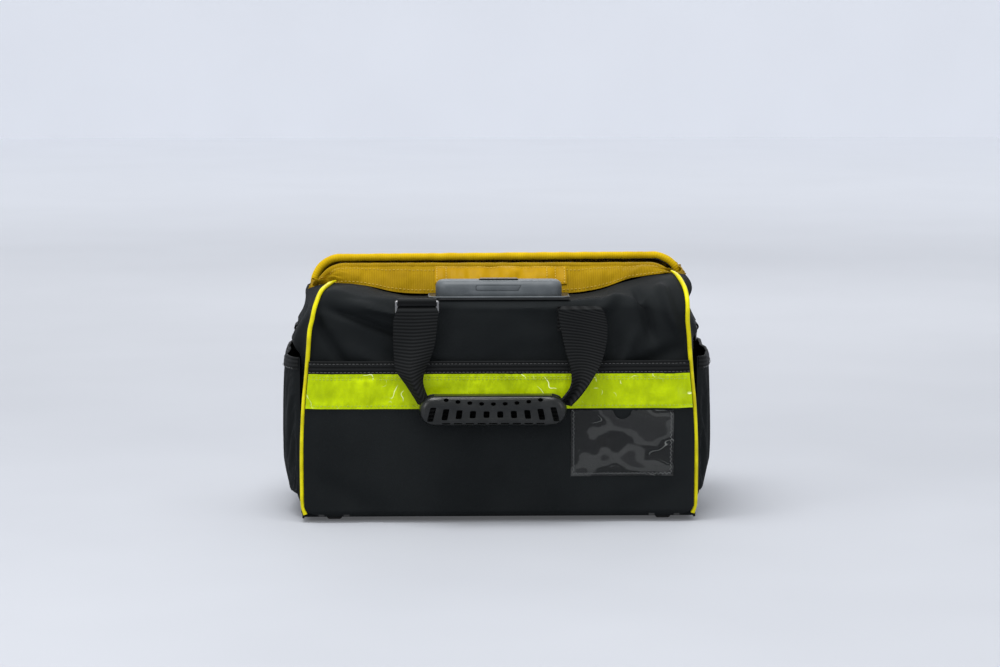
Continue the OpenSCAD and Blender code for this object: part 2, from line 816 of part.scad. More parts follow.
front_panel();
rear_panel();
end_panel(-1);  // end_panel_left
end_panel(1);  // end_panel_right
base_panel();
base_tray();
front_pocket();
rear_pocket();
front_pocket_hem();
rear_pocket_hem();
front_reflective_tape();
rear_reflective_tape();
id_window();
end_pocket(-1);  // end_pocket_left
end_pocket(1);  // end_pocket_right
end_pocket_hem(-1);  // end_pocket_hem_left
end_pocket_hem(1);  // end_pocket_hem_right
piping(-1, 1);  // piping_front_left
piping(1, 1);  // piping_front_right
piping(-1, -1);  // piping_rear_left
piping(1, -1);  // piping_rear_right
collar_gusset(-1);  // collar_gusset_left
collar_gusset(1);  // collar_gusset_right
hinge_bracket(-1);  // hinge_bracket_left
hinge_bracket(1);  // hinge_bracket_right
front_collar_frame();
front_collar();
closure_strip();
rear_collar_frame();
rear_collar();
handle_ring_tabs();
strap_roots();
front_handle_ring();
front_handle_strap();
front_handle_grip();
rear_handle_ring();
rear_handle_strap();
rear_handle_grip();
d_ring_tabs();
d_ring(-1);  // d_ring_left
d_ring(1);  // d_ring_right
trolley_bezel();
tube_sockets();
outer_tubes();
lower_tubes();
middle_tubes();
upper_tubes();
trolley_grip();
release_bar();
release_springs();
release_button();
wheel_housing(-1);  // wheel_housing_left
wheel_housing(1);  // wheel_housing_right
wheel_axles();
wheel_hub(-1);  // wheel_hub_left
wheel_hub(1);  // wheel_hub_right
tyre(-1);  // tyre_left
tyre(1);  // tyre_right
housing_screws();
rubber_feet();
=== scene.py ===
# A first responder's equipment bag: black woven cloth over a moulded base, a yellow collar on two
# steel frames, a lime reflective band, webbing handles with moulded grips and a pull-out trolley grip.
import math

import bmesh
import bpy
import numpy as np
from mathutils import Matrix, Vector, noise


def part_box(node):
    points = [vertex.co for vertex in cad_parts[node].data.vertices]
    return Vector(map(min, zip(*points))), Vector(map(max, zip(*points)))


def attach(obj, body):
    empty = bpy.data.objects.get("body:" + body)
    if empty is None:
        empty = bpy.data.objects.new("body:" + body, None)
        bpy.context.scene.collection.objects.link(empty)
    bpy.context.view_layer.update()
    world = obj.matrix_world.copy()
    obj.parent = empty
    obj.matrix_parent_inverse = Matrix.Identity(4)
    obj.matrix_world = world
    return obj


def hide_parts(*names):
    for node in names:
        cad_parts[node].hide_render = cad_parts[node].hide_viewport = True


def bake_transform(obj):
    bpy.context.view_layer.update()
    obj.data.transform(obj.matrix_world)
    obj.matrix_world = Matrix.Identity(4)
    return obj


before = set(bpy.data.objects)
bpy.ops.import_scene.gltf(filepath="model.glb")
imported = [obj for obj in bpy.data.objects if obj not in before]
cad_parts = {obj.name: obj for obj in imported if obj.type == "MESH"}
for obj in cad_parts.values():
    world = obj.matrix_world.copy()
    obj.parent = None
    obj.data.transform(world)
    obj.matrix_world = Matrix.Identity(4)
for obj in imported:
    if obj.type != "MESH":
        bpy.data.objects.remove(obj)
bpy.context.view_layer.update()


# ---- Room: a pale floor that turns up behind the bag, soft boxes above and beside it, and the camera ----
# The view is almost level, from a little to the left of the middle, with a long lens.
class Wire:
    """A shader socket that can be added, multiplied and compared like a number."""

    def __init__(self, tree, socket=None):
        self.tree, self.socket = tree, socket

    def node(self, kind, settings=None, inputs=None, out=0):
        made = self.tree.nodes.new("ShaderNode" + kind)
        for name, value in (settings or {}).items():
            if name == "stops":
                while len(made.color_ramp.elements) < len(value):
                    made.color_ramp.elements.new(1)
                for stop, (place, colour) in zip(made.color_ramp.elements, value):
                    stop.position, stop.color = place, (*colour, 1)
            else:
                setattr(made, name, value)
        for name, value in (inputs or {}).items():
            if isinstance(value, Wire):
                self.tree.links.new(value.socket, made.inputs[name])
            else:
                made.inputs[name].default_value = value
        return Wire(self.tree, made.outputs[out])

    def math(self, operation, *values):
        return self.node("Math", {"operation": operation}, dict(enumerate(values)))

    def __add__(self, other): return self.math("ADD", self, other)
    def __radd__(self, other): return self.math("ADD", other, self)
    def __sub__(self, other): return self.math("SUBTRACT", self, other)
    def __rsub__(self, other): return self.math("SUBTRACT", other, self)
    def __mul__(self, other): return self.math("MULTIPLY", self, other)
    def __rmul__(self, other): return self.math("MULTIPLY", other, self)
    def __truediv__(self, other): return self.math("DIVIDE", self, other)
    def __pow__(self, other): return self.math("POWER", self, other)
    def sine(self): return self.math("SINE", self)
    def absolute(self): return self.math("ABSOLUTE", self)

    def step(self, low, high):
        """0 below low, 1 above high, smooth between."""
        return self.node("MapRange", {"interpolation_type": "SMOOTHSTEP"},
                         {"Value": self, "From Min": low, "From Max": high})

    def parts(self):
        split = self.tree.nodes.new("ShaderNodeSeparateXYZ")
        self.tree.links.new(self.socket, split.inputs[0])
        return [Wire(self.tree, split.outputs[k]) for k in range(3)]

    def mix(self, share, first, second):
        """A colour between two, by share."""
        colour = lambda c: c if isinstance(c, Wire) else (*c, 1)
        return self.node("Mix", {"data_type": "RGBA"}, {0: share, 6: colour(first), 7: colour(second)}, out=2)

    def noise(self, place, scale, detail=3, rough=0.5):
        return self.node("TexNoise", inputs={"Vector": place, "Scale": scale, "Detail": detail,
                                             "Roughness": rough})


def finish_of(name, settings):
    """A new material: its wire, its principled shader and the material itself."""
    made = bpy.data.materials.new(name)
    made.use_nodes = True
    shader = made.node_tree.nodes["Principled BSDF"]
    for socket, value in settings.items():
        shader.inputs[socket].default_value = value
    return made, shader, Wire(made.node_tree)


def plug(shader, socket, wire):
    shader.id_data.links.new(wire.socket, shader.inputs[socket])


def bump(shader, height, distance, strength=1.0):
    """Height feeds the shader's normal, as relief of that many metres."""
    relief = height.node("Bump", inputs={"Height": height, "Distance": distance, "Strength": strength})
    plug(shader, "Normal", relief)


floor_finish, floor_shader, wire = finish_of("floor_paper", {
    "Roughness": 0.75, "Specular IOR Level": 0.2, "Emission Color": (0.9, 0.92, 0.96, 1),
    "Emission Strength": 0.085})
spot = wire.node("TexCoord", out=3)
# Painted shade: the floor's colour is darker near the bag and pale far off, evening out the soft boxes' light on
# it.
far_off = wire.node("VectorMath", {"operation": "LENGTH"}, {0: spot}, out=1).step(0.3, 4.5)
grain = wire.noise(spot, 3.0, 2)
plug(floor_shader, "Base Color",
     wire.mix(grain * 0.1 + far_off * 0.9, (0.345, 0.358, 0.39), (0.86, 0.88, 0.93)))
bpy.ops.object.select_all(action="DESELECT")
bpy.ops.mesh.primitive_plane_add(size=12, location=(0, 0, 0))
floor = bpy.context.object
floor.name = "floor"
bpy.ops.object.mode_set(mode="EDIT")
bpy.ops.mesh.select_all(action="DESELECT")
bpy.ops.object.mode_set(mode="OBJECT")
for edge in floor.data.edges:
    edge.select = all(floor.data.vertices[v].co.y > 5 for v in edge.vertices)
bpy.ops.object.mode_set(mode="EDIT")
bpy.ops.mesh.select_mode(type="EDGE")
bpy.ops.mesh.extrude_region_move(TRANSFORM_OT_translate={"value": (0, 0, 7)})
bpy.ops.object.mode_set(mode="OBJECT")
floor.data.materials.append(floor_finish)

world = bpy.context.scene.world or bpy.data.worlds.new("room")
bpy.context.scene.world = world
world.use_nodes = True
world.node_tree.nodes["Background"].inputs["Color"].default_value = (0.95, 0.97, 1.0, 1)
world.node_tree.nodes["Background"].inputs["Strength"].default_value = 0.78


def soft_box(name, place, aim, size, power):
    lamp = bpy.data.lights.new(name, "AREA")
    lamp.shape, lamp.size, lamp.size_y, lamp.energy = "RECTANGLE", size[0], size[1], power
    holder = bpy.data.objects.new(name, lamp)
    holder.location = place
    holder.rotation_euler = (Vector(aim) - Vector(place)).to_track_quat("-Z", "Y").to_euler()
    bpy.context.scene.collection.objects.link(holder)


soft_box("soft_box_top", (-0.25, -0.35, 1.9), (0, 0, 0.15), (1.1, 0.8), 31)
soft_box("soft_box_left", (-1.7, -1.3, 0.95), (0, 0, 0.15), (0.7, 0.9), 11)
soft_box("soft_box_right", (1.6, -1.5, 0.8), (0, 0, 0.15), (0.7, 1.1), 6)
soft_box("soft_box_back", (0.3, 1.9, 1.3), (0, 0, 0.2), (1.6, 0.9), 9)

view = bpy.context.scene.view_settings
view.view_transform, view.look, view.exposure = "Standard", "None", 0

camera = bpy.data.objects.new("camera", bpy.data.cameras.new("camera"))
bpy.context.scene.collection.objects.link(camera)
bpy.context.scene.camera = camera
aim = Vector((0, 0, 0.14))
tilt, turn, away = math.radians(8), math.radians(-1.5), 3.4
camera.location = aim + away * Vector((math.sin(turn) * math.cos(tilt), -math.cos(turn) * math.cos(tilt),
                                       math.sin(tilt)))
camera.rotation_euler = (aim - camera.location).to_track_quat("-Z", "Y").to_euler()
camera.data.sensor_width = 36
camera.data.lens = 114.3
camera.data.shift_x, camera.data.shift_y = 0.0035, 0.0405


# ---- Front and rear pockets: one large flat pocket of woven cloth on each long side ----
# Cut from one layer of coated polyester, turned under at the bottom and sewn into the end seams.
# The cloth is a fine grid that hangs a little slack from its top edge.
def ease(t):
    t = min(max(t, 0.0), 1.0)
    return t * t * (3 - 2 * t)


def between(stops, t):
    """A value that runs smoothly through stops of (t, value)."""
    if t <= stops[0][0]:
        return stops[0][1]
    for k, ((t0, a), (t1, b)) in enumerate(zip(stops, stops[1:])):
        if t <= t1:
            before, after = stops[max(k - 1, 0)], stops[min(k + 2, len(stops) - 1)]
            run, f = t1 - t0, (t - t0) / (t1 - t0)
            lean_in = (b - before[1]) / (t1 - before[0]) * run
            lean_out = (after[1] - a) / (after[0] - t0) * run
            return ((2 * f ** 3 - 3 * f * f + 1) * a + (f ** 3 - 2 * f * f + f) * lean_in
                    + (3 * f * f - 2 * f ** 3) * b + (f ** 3 - f * f) * lean_out)
    return stops[-1][1]


def corner_x(z):
    """Where the end seams stand at a height: the bag draws in toward its top."""
    return between(((0.09, 0.2045), (0.125, 0.2025), (0.15, 0.2), (0.18, 0.1975), (0.2, 0.196),
                    (0.218, 0.1935), (0.233, 0.1905)), z)


def draw_in(piece):
    """Narrows a finished piece of the long sides to the line of the end seams."""
    for point in piece.data.vertices:
        point.co.x *= corner_x(point.co.z) / corner_x(0)


def sway(x, y, z, size, height, seed=0.0):
    """Slow unevenness of cloth at a point."""
    return height * noise.noise(Vector((x / size + seed, y / size - seed, z / size)))


def crease(x, z, start, end, width, depth):
    """Depth of one soft fold that runs from start to end across a sheet."""
    dx, dz = end[0] - start[0], end[1] - start[1]
    run = (dx * dx + dz * dz) ** 0.5
    along = ((x - start[0]) * dx + (z - start[1]) * dz) / (run * run)
    aside = ((x - start[0]) * dz - (z - start[1]) * dx) / run
    if not -0.3 < along < 1.3:
        return 0.0
    fade = ease((along + 0.3) / 0.5) * ease((1.3 - along) / 0.5)
    return depth * fade * math.exp(-(aside / width) ** 2)


def only(piece):
    """Makes a piece the one selected and active object."""
    bpy.ops.object.select_all(action="DESELECT")
    piece.select_set(True)
    bpy.context.view_layer.objects.active = piece


def cloth_grid(name, across, along, flat, place):
    """A sheet of cloth: place(u, v) gives each point, and the UV map is in metres on the flat cut."""
    bpy.ops.object.select_all(action="DESELECT")
    bpy.ops.mesh.primitive_grid_add(x_subdivisions=across, y_subdivisions=along, size=1)
    piece = bpy.context.object
    piece.name = piece.data.name = name
    for point in piece.data.vertices:
        point.co = place(point.co.x + 0.5, point.co.y + 0.5)
    for loop in piece.data.uv_layers[0].data:
        loop.uv = (loop.uv[0] * flat[0], loop.uv[1] * flat[1])
    return piece


def apply(piece, kind, **settings):
    """Adds a modifier with these settings and applies it."""
    only(piece)
    made = piece.modifiers.new(kind.lower(), kind)
    for setting, value in settings.items():
        setattr(made, setting, value)
    bpy.ops.object.modifier_apply(modifier=made.name)


def thicken(piece, depth, offset=-1):
    apply(piece, "SOLIDIFY", thickness=depth, offset=offset)


def dress(piece, finish, body, slot, *nodes, angle=40):
    """Smooths a finished piece, gives it its material and body, and hides the solids it stands for."""
    only(piece)
    bpy.ops.object.shade_smooth_by_angle(angle=math.radians(angle))
    piece.data.materials.clear()
    piece.data.materials.append(finish)
    if body:
        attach(piece, body)
    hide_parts(*nodes)
    return piece


def turned(piece, name):
    """A copy of a piece, turned half round to the rear or the other end, with its own mesh."""
    copy = piece.copy()
    copy.data = piece.data.copy()
    copy.name = copy.data.name = name
    copy.parent = None
    copy.matrix_world = Matrix.Identity(4)
    bpy.context.scene.collection.objects.link(copy)
    copy.data.transform(Matrix.Rotation(math.pi, 4, "Z"))
    return copy


black_cloth, cloth_shader, wire = finish_of("black_woven_polyester", {
    "Roughness": 0.72, "Specular IOR Level": 0.1})
u, v, _ = wire.node("UVMap").parts()
yarn = (u * (2 * math.pi / 0.0011)).sine() * (v * (2 * math.pi / 0.0011)).sine()
place = wire.node("TexCoord", out=3)
cloudy = wire.noise(place, 14, 4)
fleck = wire.noise(place, 900, 2)
dark = wire.mix(cloudy.step(0.35, 0.65), (0.0045, 0.006, 0.0068), (0.0075, 0.0092, 0.01))
plug(cloth_shader, "Base Color", wire.mix(yarn * 0.25 + fleck * 0.5, dark, (0.0135, 0.0155, 0.0165)))
plug(cloth_shader, "Roughness", 0.62 + 0.2 * fleck)
bump(cloth_shader, yarn * 0.5 + 0.5 * fleck, 0.00022)

pocket_low, pocket_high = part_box("front_pocket")
pocket_face = pocket_low.y
hem_low, hem_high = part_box("front_pocket_hem")
tape_low, tape_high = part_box("front_reflective_tape")
tape_low.z, tape_high.z = tape_low.z + 0.0015, tape_high.z + 0.0015


def pocket_y(x, z):
    """Outer face of the front pocket: slack in the middle, drawn in at the seams and the bottom."""
    share = (x - pocket_low.x) / (pocket_high.x - pocket_low.x)
    side = ease(min(share, 1 - share) / 0.05)
    height = (z - pocket_low.z) / (pocket_high.z - pocket_low.z)
    y = pocket_face + 0.0026 * (1 - side)
    y -= 0.0022 * math.sin(math.pi * min(max(height, 0), 1)) * side
    y += sway(x, 0, z, 0.09, 0.0022, 3.1) * side * (1 - 0.6 * ease((height - 0.6) / 0.2))
    y += sway(x, 0, z, 0.03, 0.0006, 7.7) * side
    y += crease(x, z, (-0.19, 0.05), (-0.13, 0.012), 0.012, 0.0022)
    y += crease(x, z, (0.19, 0.04), (0.12, 0.008), 0.012, 0.002)
    y -= crease(x, z, (-0.1, 0.1), (-0.02, 0.03), 0.02, 0.0016)
    return y


def pocket_point(u, v):
    x = pocket_low.x + u * (pocket_high.x - pocket_low.x)
    z = pocket_low.z + 0.0015 + v * (pocket_high.z - pocket_low.z - 0.0025)
    corner = max(0.0, abs(x) - pocket_high.x + 0.022) / 0.022
    lift = 0.011 * (1 - math.sqrt(max(0.0, 1 - corner ** 2)))
    roll = ease(1 - v / 0.05)
    z = max(z, pocket_low.z + 0.0015 + lift + 0.0005)
    return (x, pocket_y(x, z) + 0.007 * roll ** 2, z)


front_pocket = cloth_grid("front_pocket_cloth", 190, 90, (0.406, 0.166), pocket_point)
thicken(front_pocket, 0.0014)
draw_in(front_pocket)
rear_pocket = turned(front_pocket, "rear_pocket_cloth")
for piece, node in ((front_pocket, "front_pocket"), (rear_pocket, "rear_pocket")):
    dress(piece, black_cloth, "bag", "black_fabric", node)


# ---- Pocket tops: a folded webbing binding over the raw edge of each flat pocket ----
# Ribbed nylon tape, doubled over the edge and sewn through with two rows of black thread.
webbing, web_shader, wire = finish_of("black_webbing", {
    "Roughness": 0.6, "Specular IOR Level": 0.1})
u, v, _ = wire.node("UVMap").parts()
rib = (v * (2 * math.pi / 0.0042)).sine()
warp = (u * (2 * math.pi / 0.0013)).sine()
fuzz = wire.noise(wire.node("TexCoord", out=3), 700, 2)
# Painted shade and highlight: the colour is darker in the grooves and lighter on the ribs, following the rib
# pattern.
plug(web_shader, "Base Color",
     wire.mix(rib * 0.4 + 0.25 * fuzz + 0.35, (0.0018, 0.0022, 0.0024), (0.012, 0.013, 0.0135)))
plug(web_shader, "Roughness", 0.5 + 0.25 * fuzz)
bump(web_shader, rib * 0.7 + warp * 0.15 + 0.2 * fuzz, 0.0003)


def strip_on(name, width, height, place_y, proud, across=180, along=8):
    """A strip that lies on a long side, between two heights, standing proud of it."""
    def point(u, v):
        x = pocket_low.x + 0.0005 + u * width
        z = height[0] + v * (height[1] - height[0])
        return (x, place_y(x, z) - proud(u, v), z)
    return cloth_grid(name, across, along, (width, height[1] - height[0]), point)


strip_width = pocket_high.x - pocket_low.x - 0.001
front_hem = strip_on("front_pocket_binding", strip_width, (tape_high.z - 0.0005, hem_high.z),
                     pocket_y, lambda u, v: 0.0006 + 0.0006 * math.sin(math.pi * v))
thicken(front_hem, 0.0022)
apply(front_hem, "BEVEL", width=0.0005, segments=2, limit_method="ANGLE")
draw_in(front_hem)
rear_hem = turned(front_hem, "rear_pocket_binding")
for piece, node in ((front_hem, "front_pocket_hem"), (rear_hem, "rear_pocket_hem")):
    dress(piece, webbing, "bag", "black_webbing", node)


# ---- Reflective tape: a lime band right round the front and rear pockets, under the binding ----
# Glossy fluorescent vinyl, sewn along both edges. It puckers between its stitches.
lime, lime_shader, wire = finish_of("lime_reflective_tape", {
    "Roughness": 0.34, "Coat Weight": 0.08, "Coat Roughness": 0.1, "Specular IOR Level": 0.06,
    "Emission Strength": 0.08})
place = wire.node("TexCoord", out=3)
x, y, z = place.parts()
pattern = wire.noise(place, 26, 3)
crinkle = wire.noise(wire.node("VectorMath", {"operation": "MULTIPLY"}, {0: place, 1: (1, 1, 0.55)}),
                     95, 3, 0.55)
beads = wire.node("TexVoronoi", {"feature": "F1"}, {"Vector": place, "Scale": 900})
tone = wire.mix(pattern.step(0.3, 0.7), (0.38, 0.5, 0.0005), (0.5, 0.64, 0.001))
# Painted shade: the colour darkens into the crinkles of the tape, following the same noise as its bump.
shade = (crinkle - 0.5) * 2.2 + 0.6
curl = wire.noise(place, 60, 1, 0.4)
# Painted highlights: thin bright lines mixed into the colour stand in for glints on the creased vinyl.
glint = (1 - (curl - 0.52).absolute().step(0.004, 0.014)) * wire.noise(place, 38, 2).step(0.58, 0.66)
plug(lime_shader, "Base Color", wire.mix(glint, wire.mix(shade, (0.3, 0.4, 0.0), tone), (0.9, 0.95, 0.5)))
# Painted light: the tape glows faintly in its own colour.
plug(lime_shader, "Emission Color", tone)
plug(lime_shader, "Roughness", 0.24 + 0.22 * pattern)
bump(lime_shader, crinkle + 0.02 * beads, 0.0024, 0.8)


def tape_pucker(u, v):
    edge = math.exp(-((v - 0.1) / 0.08) ** 2) + math.exp(-((v - 0.9) / 0.08) ** 2)
    x = u * 0.406
    ripple = 0.00035 * math.sin(x * 2 * math.pi / 0.0105 + 3 * math.sin(x * 31)) * edge
    slack = sway(x, v * 0.036, 0.3, 0.014, 0.0011, 1.7) + sway(x, v * 0.03, 0.1, 0.03, 0.0011, 9.2)
    slack += 0.0009 * math.exp(-((x - 0.1705) / 0.0016) ** 2)
    return 0.0011 + ripple + slack * (1 - 0.85 * edge)


front_tape = strip_on("front_reflective_band", strip_width, (tape_low.z, tape_high.z), pocket_y, tape_pucker,
                      420, 40)
thicken(front_tape, 0.0006)
draw_in(front_tape)
rear_tape = turned(front_tape, "rear_reflective_band")
for piece, node in ((front_tape, "front_reflective_tape"), (rear_tape, "rear_reflective_tape")):
    dress(piece, lime, "bag", "reflective_tape", node)


# ---- Stitching: single threads laid along every seam that shows ----
# Each stitch is a short bead of bonded thread that sinks into the cloth at both ends.
def stitches(name, path, out, length, gap, thick, finish, body):
    """Thread beads along a path of points; out gives the way the cloth faces at each point."""
    points = [Vector(p) for p in path]
    faces = [out] * len(points) if isinstance(out, tuple) else out
    travelled, here, spots = 0.0, 0.0, []
    for a, b, side in zip(points, points[1:], faces):
        step = (b - a).length
        while here < travelled + step and step > 0:
            spots.append((a.lerp(b, (here - travelled) / step), (b - a).normalized(), Vector(side)))
            here += length + gap
        travelled += step
    verts, quads = [], []
    for spot, way, side in spots:
        cross = way.cross(side).normalized()
        base = len(verts)
        for k, (reach, swell) in enumerate(((-0.5, 0.3), (-0.28, 1), (0.28, 1), (0.5, 0.3))):
            for turn in range(6):
                angle = turn * math.pi / 3
                verts.append(spot + way * reach * length + swell * thick / 2
                             * (cross * math.cos(angle) + side * (math.sin(angle) + 0.35)))
        for ring in range(3):
            for turn in range(6):
                a, b = base + ring * 6 + turn, base + ring * 6 + (turn + 1) % 6
                quads.append((a, b, b + 6, a + 6))
        quads += [tuple(base + k for k in range(5, -1, -1)), tuple(base + 18 + k for k in range(6))]
    mesh = bpy.data.meshes.new(name)
    mesh.from_pydata([tuple(p) for p in verts], [], quads)
    piece = bpy.data.objects.new(name, mesh)
    bpy.context.scene.collection.objects.link(piece)
    only(piece)
    bpy.ops.object.mode_set(mode="EDIT")
    bpy.ops.mesh.select_all(action="SELECT")
    bpy.ops.mesh.normals_make_consistent(inside=False)
    bpy.ops.object.mode_set(mode="OBJECT")
    bpy.ops.object.shade_smooth()
    mesh.materials.append(finish)
    if body:
        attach(piece, body)
    return piece


def joined(name, *pieces):
    """Several like pieces as one."""
    only(pieces[0])
    for piece in pieces[1:]:
        piece.select_set(True)
    bpy.ops.object.join()
    pieces[0].name = pieces[0].data.name = name
    return pieces[0]


def thread(name, colour, roughness=0.6):
    made, shader, wire = finish_of(name, {"Roughness": roughness, "Sheen Weight": 0.3})
    twist = wire.noise(wire.node("TexCoord", out=3), 2500, 1)
    plug(shader, "Base Color", wire.mix(twist, tuple(c * 0.8 for c in colour), colour))
    bump(shader, twist, 0.0001)
    return made


lime_thread = thread("lime_thread", (0.36, 0.46, 0.01), 0.45)
black_thread = thread("black_thread", (0.035, 0.037, 0.038))
gold_thread = thread("gold_thread", (0.62, 0.4, 0.03))


def row_on_pocket(height, lift, start=0.004, end=0.996, count=200):
    """Points of a level seam across the front pocket, standing off its face by lift."""
    for k in range(count + 1):
        u = start + (end - start) * k / count
        x = pocket_low.x + u * (pocket_high.x - pocket_low.x)
        yield (x, pocket_y(x, height) - lift, height)


rows = []
for k, (height, lift) in enumerate(((tape_high.z - 0.003, 0.0012), (tape_high.z - 0.0055, 0.0013),
                                    (tape_low.z + 0.003, 0.0012))):
    rows.append(stitches(f"row_{k}", row_on_pocket(height, lift), (0, -1, 0), 0.0028, 0.0012, 0.0007,
                         lime_thread, None))
front_rows = joined("front_band_stitching", *rows)
draw_in(front_rows)
rear_rows = turned(front_rows, "rear_band_stitching")
hem_rows = joined("front_binding_stitching", *[
    stitches(f"hem_row_{k}", row_on_pocket(height, 0.0013), (0, -1, 0), 0.003, 0.0012, 0.0006,
             black_thread, None)
    for k, height in enumerate((tape_high.z + 0.0018, hem_high.z - 0.003))])
draw_in(hem_rows)
rear_hem_rows = turned(hem_rows, "rear_binding_stitching")
for piece in (front_rows, rear_rows, hem_rows, rear_hem_rows):
    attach(piece, "bag")


# ---- Card window: a clear vinyl pocket on the right of the front, open at the top ----
# Soft sheet vinyl, zigzag-sewn on three sides, wavy from heat, with a half-round thumb cut.
clear, clear_shader, wire = finish_of("clear_vinyl", {
    "Roughness": 0.12, "IOR": 1.5, "Specular IOR Level": 0.22, "Coat Weight": 0.1, "Coat Roughness": 0.03,
    "Alpha": 0.8})
place = wire.node("TexCoord", out=3)
flow = wire.noise(wire.node("VectorMath", {"operation": "MULTIPLY"}, {0: place, 1: (0.8, 1, 1.3)}),
                  30, 1.5, 0.45)
# Painted reflections: light and dark wavy bands and thin bright streaks in the colour stand in for reflections in
# the vinyl.
painted_reflection_bands = wire.mix(flow.step(0.5, 0.515), (0.01, 0.011, 0.011),
                 wire.mix(flow.step(0.59, 0.6), (0.045, 0.047, 0.046), (0.02, 0.021, 0.021)))
painted_reflection_streaks = (1 - (flow - 0.44).absolute().step(0.001, 0.005)) * wire.noise(place, 45, 2).step(0.53, 0.62)
plug(clear_shader, "Base Color", wire.mix(painted_reflection_streaks, painted_reflection_bands, (0.2, 0.21, 0.2)))
bump(clear_shader, flow, 0.002, 0.5)

window_low, window_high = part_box("id_window")
notch_x, notch_r = (window_low.x + window_high.x) / 2, 0.0093


def window_point(u, v):
    x = window_low.x + u * (window_high.x - window_low.x)
    top = window_high.z - 0.0005
    if abs(x - notch_x) < notch_r:
        top -= math.sqrt(notch_r ** 2 - (x - notch_x) ** 2)
    z = window_low.z + v * (top - window_low.z)
    edge = ease(min(u, 1 - u) / 0.08) * ease(v / 0.1)
    bulge = 0.0007 * edge + sway(x, 0, z, 0.02, 0.0009, 5.5) * edge
    return (x, pocket_y(x, z) - 0.0006 - bulge, z)


window = cloth_grid("card_window_vinyl", 96, 60, (0.107, 0.07), window_point)
thicken(window, 0.0004)
dress(window, clear, "bag", "clear_window", "id_window")


def window_seam(inset, zigzag):
    corners = [(window_low.x + inset, window_high.z - 0.001), (window_low.x + inset, window_low.z + inset),
               (window_high.x - inset, window_low.z + inset), (window_high.x - inset, window_high.z - 0.001)]
    for (x0, z0), (x1, z1) in zip(corners, corners[1:]):
        run = math.hypot(x1 - x0, z1 - z0)
        count = int(run / 0.0021)
        for k in range(count):
            side = zigzag * (1 if k % 2 else -1)
            t = k / count
            x = x0 + (x1 - x0) * t + side * (z1 != z0)
            z = z0 + (z1 - z0) * t + side * (x1 != x0)
            yield (x, pocket_y(x, z) - 0.0011, z)


gray_thread = thread("gray_thread", (0.1, 0.105, 0.105), 0.5)
stitches("card_window_stitching", list(window_seam(0.0028, 0.0009)), (0, -1, 0), 0.0021, 0.0, 0.0006,
         gray_thread, "bag")


# ---- Front and rear panels: the upper side and shoulder, one cloth folded over a foam board ----
# It rises behind the pocket, turns over the top and runs back to the collar seam, where the cloth
# is eased into a shorter seam, so it puckers and folds at both ends.
panel_low, panel_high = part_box("front_panel")
wall_y, shoulder_z = panel_low.y, panel_high.z
seam_y = panel_high.y
wall_start = hem_low.z - 0.06
fold = 0.009
panel_run = [shoulder_z - fold - wall_start, math.pi / 2 * fold, seam_y - wall_y - fold]


def seam_rise(x):
    """How far the collar seam is drawn up above the flat shoulder."""
    left = 0.0115 * ease((-x - 0.085) / 0.085) - 0.012 * ease((-x - 0.172) / 0.03)
    right = 0.021 * ease((x - 0.075) / 0.1) - 0.009 * ease((x - 0.183) / 0.02)
    return max(0.0, left + right)


def seam_back(x):
    """How far the collar seam moves back toward the mouth at the ends."""
    return 0.014 * ease((abs(x) - 0.1) / 0.09)


def fold_path(v, x):
    """The outline of a long side, v from 0 low on its wall to 1 at the collar seam.

    Gives the distance back from the wall, the height and the way out. The fold opens out at the ends."""
    r = fold + 0.006 * ease((abs(x) - 0.14) / 0.04)
    wall, turn = shoulder_z - r - wall_start, math.pi / 2 * r
    s = v * (wall + turn + seam_y - wall_y - r)
    if s < wall:
        return 0.0, wall_start + s, (-1, 0)
    if s < wall + turn:
        angle = (s - wall) / r
        return (r * (1 - math.cos(angle)), shoulder_z - r + r * math.sin(angle),
                (-math.cos(angle), math.sin(angle)))
    return r + s - wall - turn, shoulder_z, (0, 1)


def end_x(side, away, z):
    """Where the end seam stands, at a height on the wall and at a distance back from it on the shoulder."""
    if side < 0:
        over = ((0, 0.1915), (0.004, 0.1885), (0.013, 0.184), (0.043, 0.173), (0.06, 0.167))
    else:
        over = ((0, 0.1955), (0.01, 0.194), (0.03, 0.1895), (0.051, 0.183), (0.06, 0.1806))
    share = ease((z - 0.2) / 0.028)
    return corner_x(z) + (between(over, away) - corner_x(z)) * share


def shoulder_lift(x, back):
    """How high the shoulder stands above its fold, back from 0 at the wall to 1 at the collar seam."""
    power = 1.3 + ease((x - 0.15) / 0.04) if x > 0 else 2.6 + 5.4 * ease((-x - 0.14) / 0.04)
    return seam_rise(x) * (1 - max(0.0, 1 - back) ** power)


